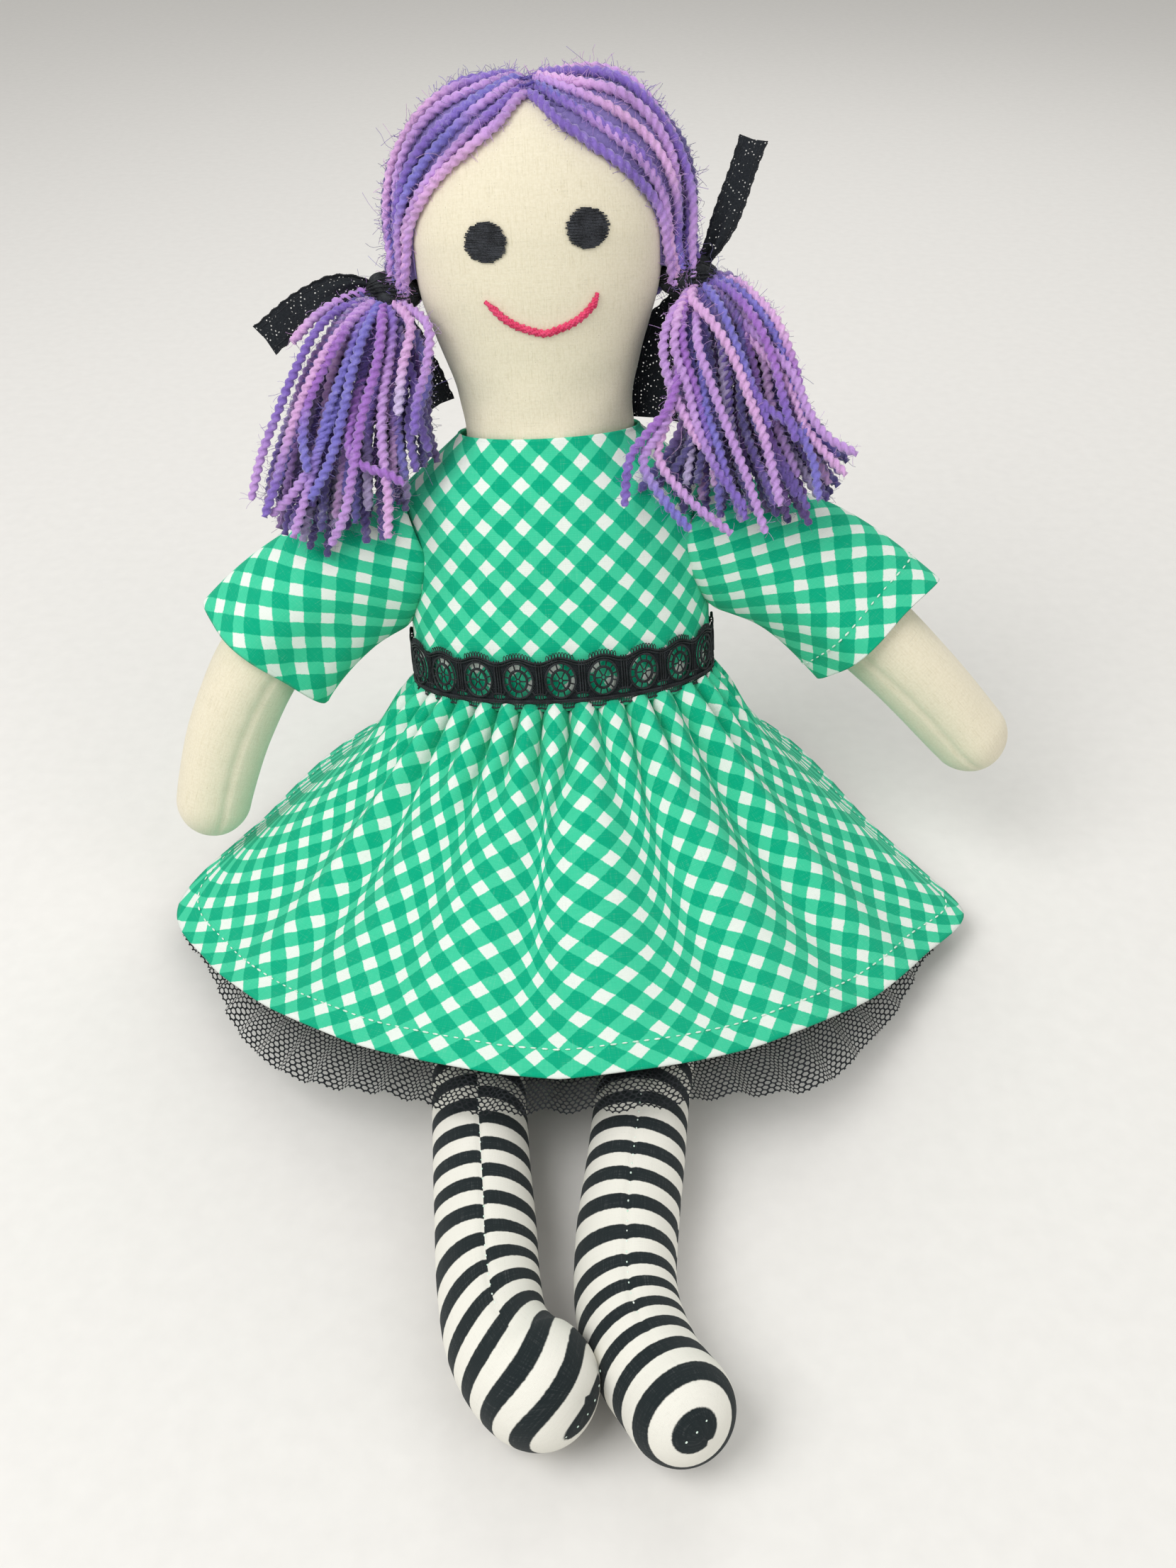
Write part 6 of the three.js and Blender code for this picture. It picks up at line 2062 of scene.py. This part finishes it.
def make_ribbon_tail(node, body):
    """Lace ribbon that leaves its knot gathered and opens flat, with a scalloped edge of loops"""
    side, through, across, share = RIBBON_TAILS[node]
    knot = knot_centre(side)
    route = Route([knot, *(knot + np.array(through) * RIBBON_LENGTH)])
    along = np.linspace(0.05, 1.0, 70)
    centre, way = route.at(along), route.along(along)
    thin = unit(np.cross(np.asarray(across, float), way))
    wide = unit(np.cross(way, thin))
    opened = lerp(0.35, 1, smoothstep(along, 0.05, 0.45))
    place = np.linspace(-1, 1, 21)
    half = share * RIBBON_WIDTH / 2
    loops = 0.04 * np.cos(along * route.length / 4.5 * 2 * math.pi)
    scallop = 1 + loops[:, None] * np.abs(place)[None, :] ** 4
    spread = place[None, :] * half * opened[:, None] * scallop
    wave = (1 - smoothstep(along, 0.1, 0.7))[:, None] * 1.3 * np.sin(place * 6)[None, :]
    wave = wave + 0.5 * ripple(along[:, None] * 9, place[None, :] * 1.5, seed=len(node))
    notch = 0.6 * np.abs(place)[None, :] * smoothstep(along, 0.9, 1.0)[:, None]
    grid = centre[:, None] + wide[:, None] * spread[..., None] + thin[:, None] * wave[..., None]
    grid = grid + way[:, None] * notch[..., None]
    flat = np.stack(np.broadcast_arrays((along * route.length)[:, None], (place * half)[None, :]), -1)
    ribbon = grid_object(node + "_lace", leaned(grid), flat, RIBBON_LACE, closed=False)
    lines = [leaned(grid[:, column]) for column in (0, -1, 3, -4)]
    twist = dict(step=0.9, turn_length=2.5, pinch=0.7, sides=6)
    edge = yarn(node + "_edges", lines, [0.42, 0.42, 0.25, 0.25], LACE_THREAD, **twist)
    wear(edge, body, "ribbon_lace")
    return wear(ribbon, body, "ribbon_lace", node)


KNOT_STRETCH = 1.25
KNOT_SHIFT = 2.0


def make_knot(side):
    """Ribbon wound round the gather and tied: creased turns round a tight middle"""
    name = SIDES[side]
    centre = knot_centre(side)
    turn, rise = around(72)[None, :], np.linspace(-math.pi / 2 + 0.02, math.pi / 2 - 0.02, 40)[:, None]
    ridges = 0.9 * np.abs(np.sin(rise * 4.5 + 0.7 * np.cos(2 * turn))) + 0.5 * np.sin(6 * turn + 3 * rise)
    radius = KNOT_RADIUS + 0.9 + ridges
    x = KNOT_STRETCH * radius * np.cos(rise) * np.cos(turn) - side * KNOT_SHIFT
    y = radius * np.cos(rise) * np.sin(turn)
    z = radius * np.sin(rise) * 0.95
    grid = centre + np.stack([x, y, z], -1)
    flat = np.stack(np.broadcast_arrays(np.linspace(0, 47, 73), rise * KNOT_RADIUS), -1)
    ends = leaned([centre - (0, 0, KNOT_RADIUS * 0.93), centre + (0, 0, KNOT_RADIUS * 0.93)])
    core = grid_object(f"knot_{name}_core", leaned(grid), flat, LACE_THREAD, ends=ends)
    lines = []
    way = np.linspace(0, 2 * math.pi, 40)
    for k in range(9):
        tilt = math.radians(-40 + 10 * k)
        lift = KNOT_RADIUS + 1.9 + 0.4 * np.sin(3 * way + k)
        x, out = KNOT_STRETCH * lift * np.cos(way) - side * KNOT_SHIFT, lift * np.sin(way)
        lines.append(leaned(centre + np.stack([x, out * math.cos(tilt), out * math.sin(tilt)], -1)))
    twist = dict(step=0.9, turn_length=2.2, pinch=0.65, sides=6, seed=230)
    wraps = yarn(f"knot_{name}_wraps", lines, [0.5] * len(lines), LACE_THREAD, **twist)
    wear(core, "upper_body", "ribbon_lace")
    return wear(wraps, "upper_body", "ribbon_lace", f"ribbon_knot_{name}")


make_torso()
make_head()
make_mouth()
for side in (1, -1):
    make_eye(side)
    make_arm(side)
    make_leg(side)
    make_sleeve(side)
    make_hair_cap(side)
    make_pigtail(side)
    make_knot(side)
make_parting()
for node in RIBBON_TAILS:
    make_ribbon_tail(node, "pigtail_right" if node == "ribbon_tail_out_right" else "upper_body")
make_bodice()
make_skirt()
make_petticoat()
make_sash()
make_binding()
make_back_opening()
finish_studs()
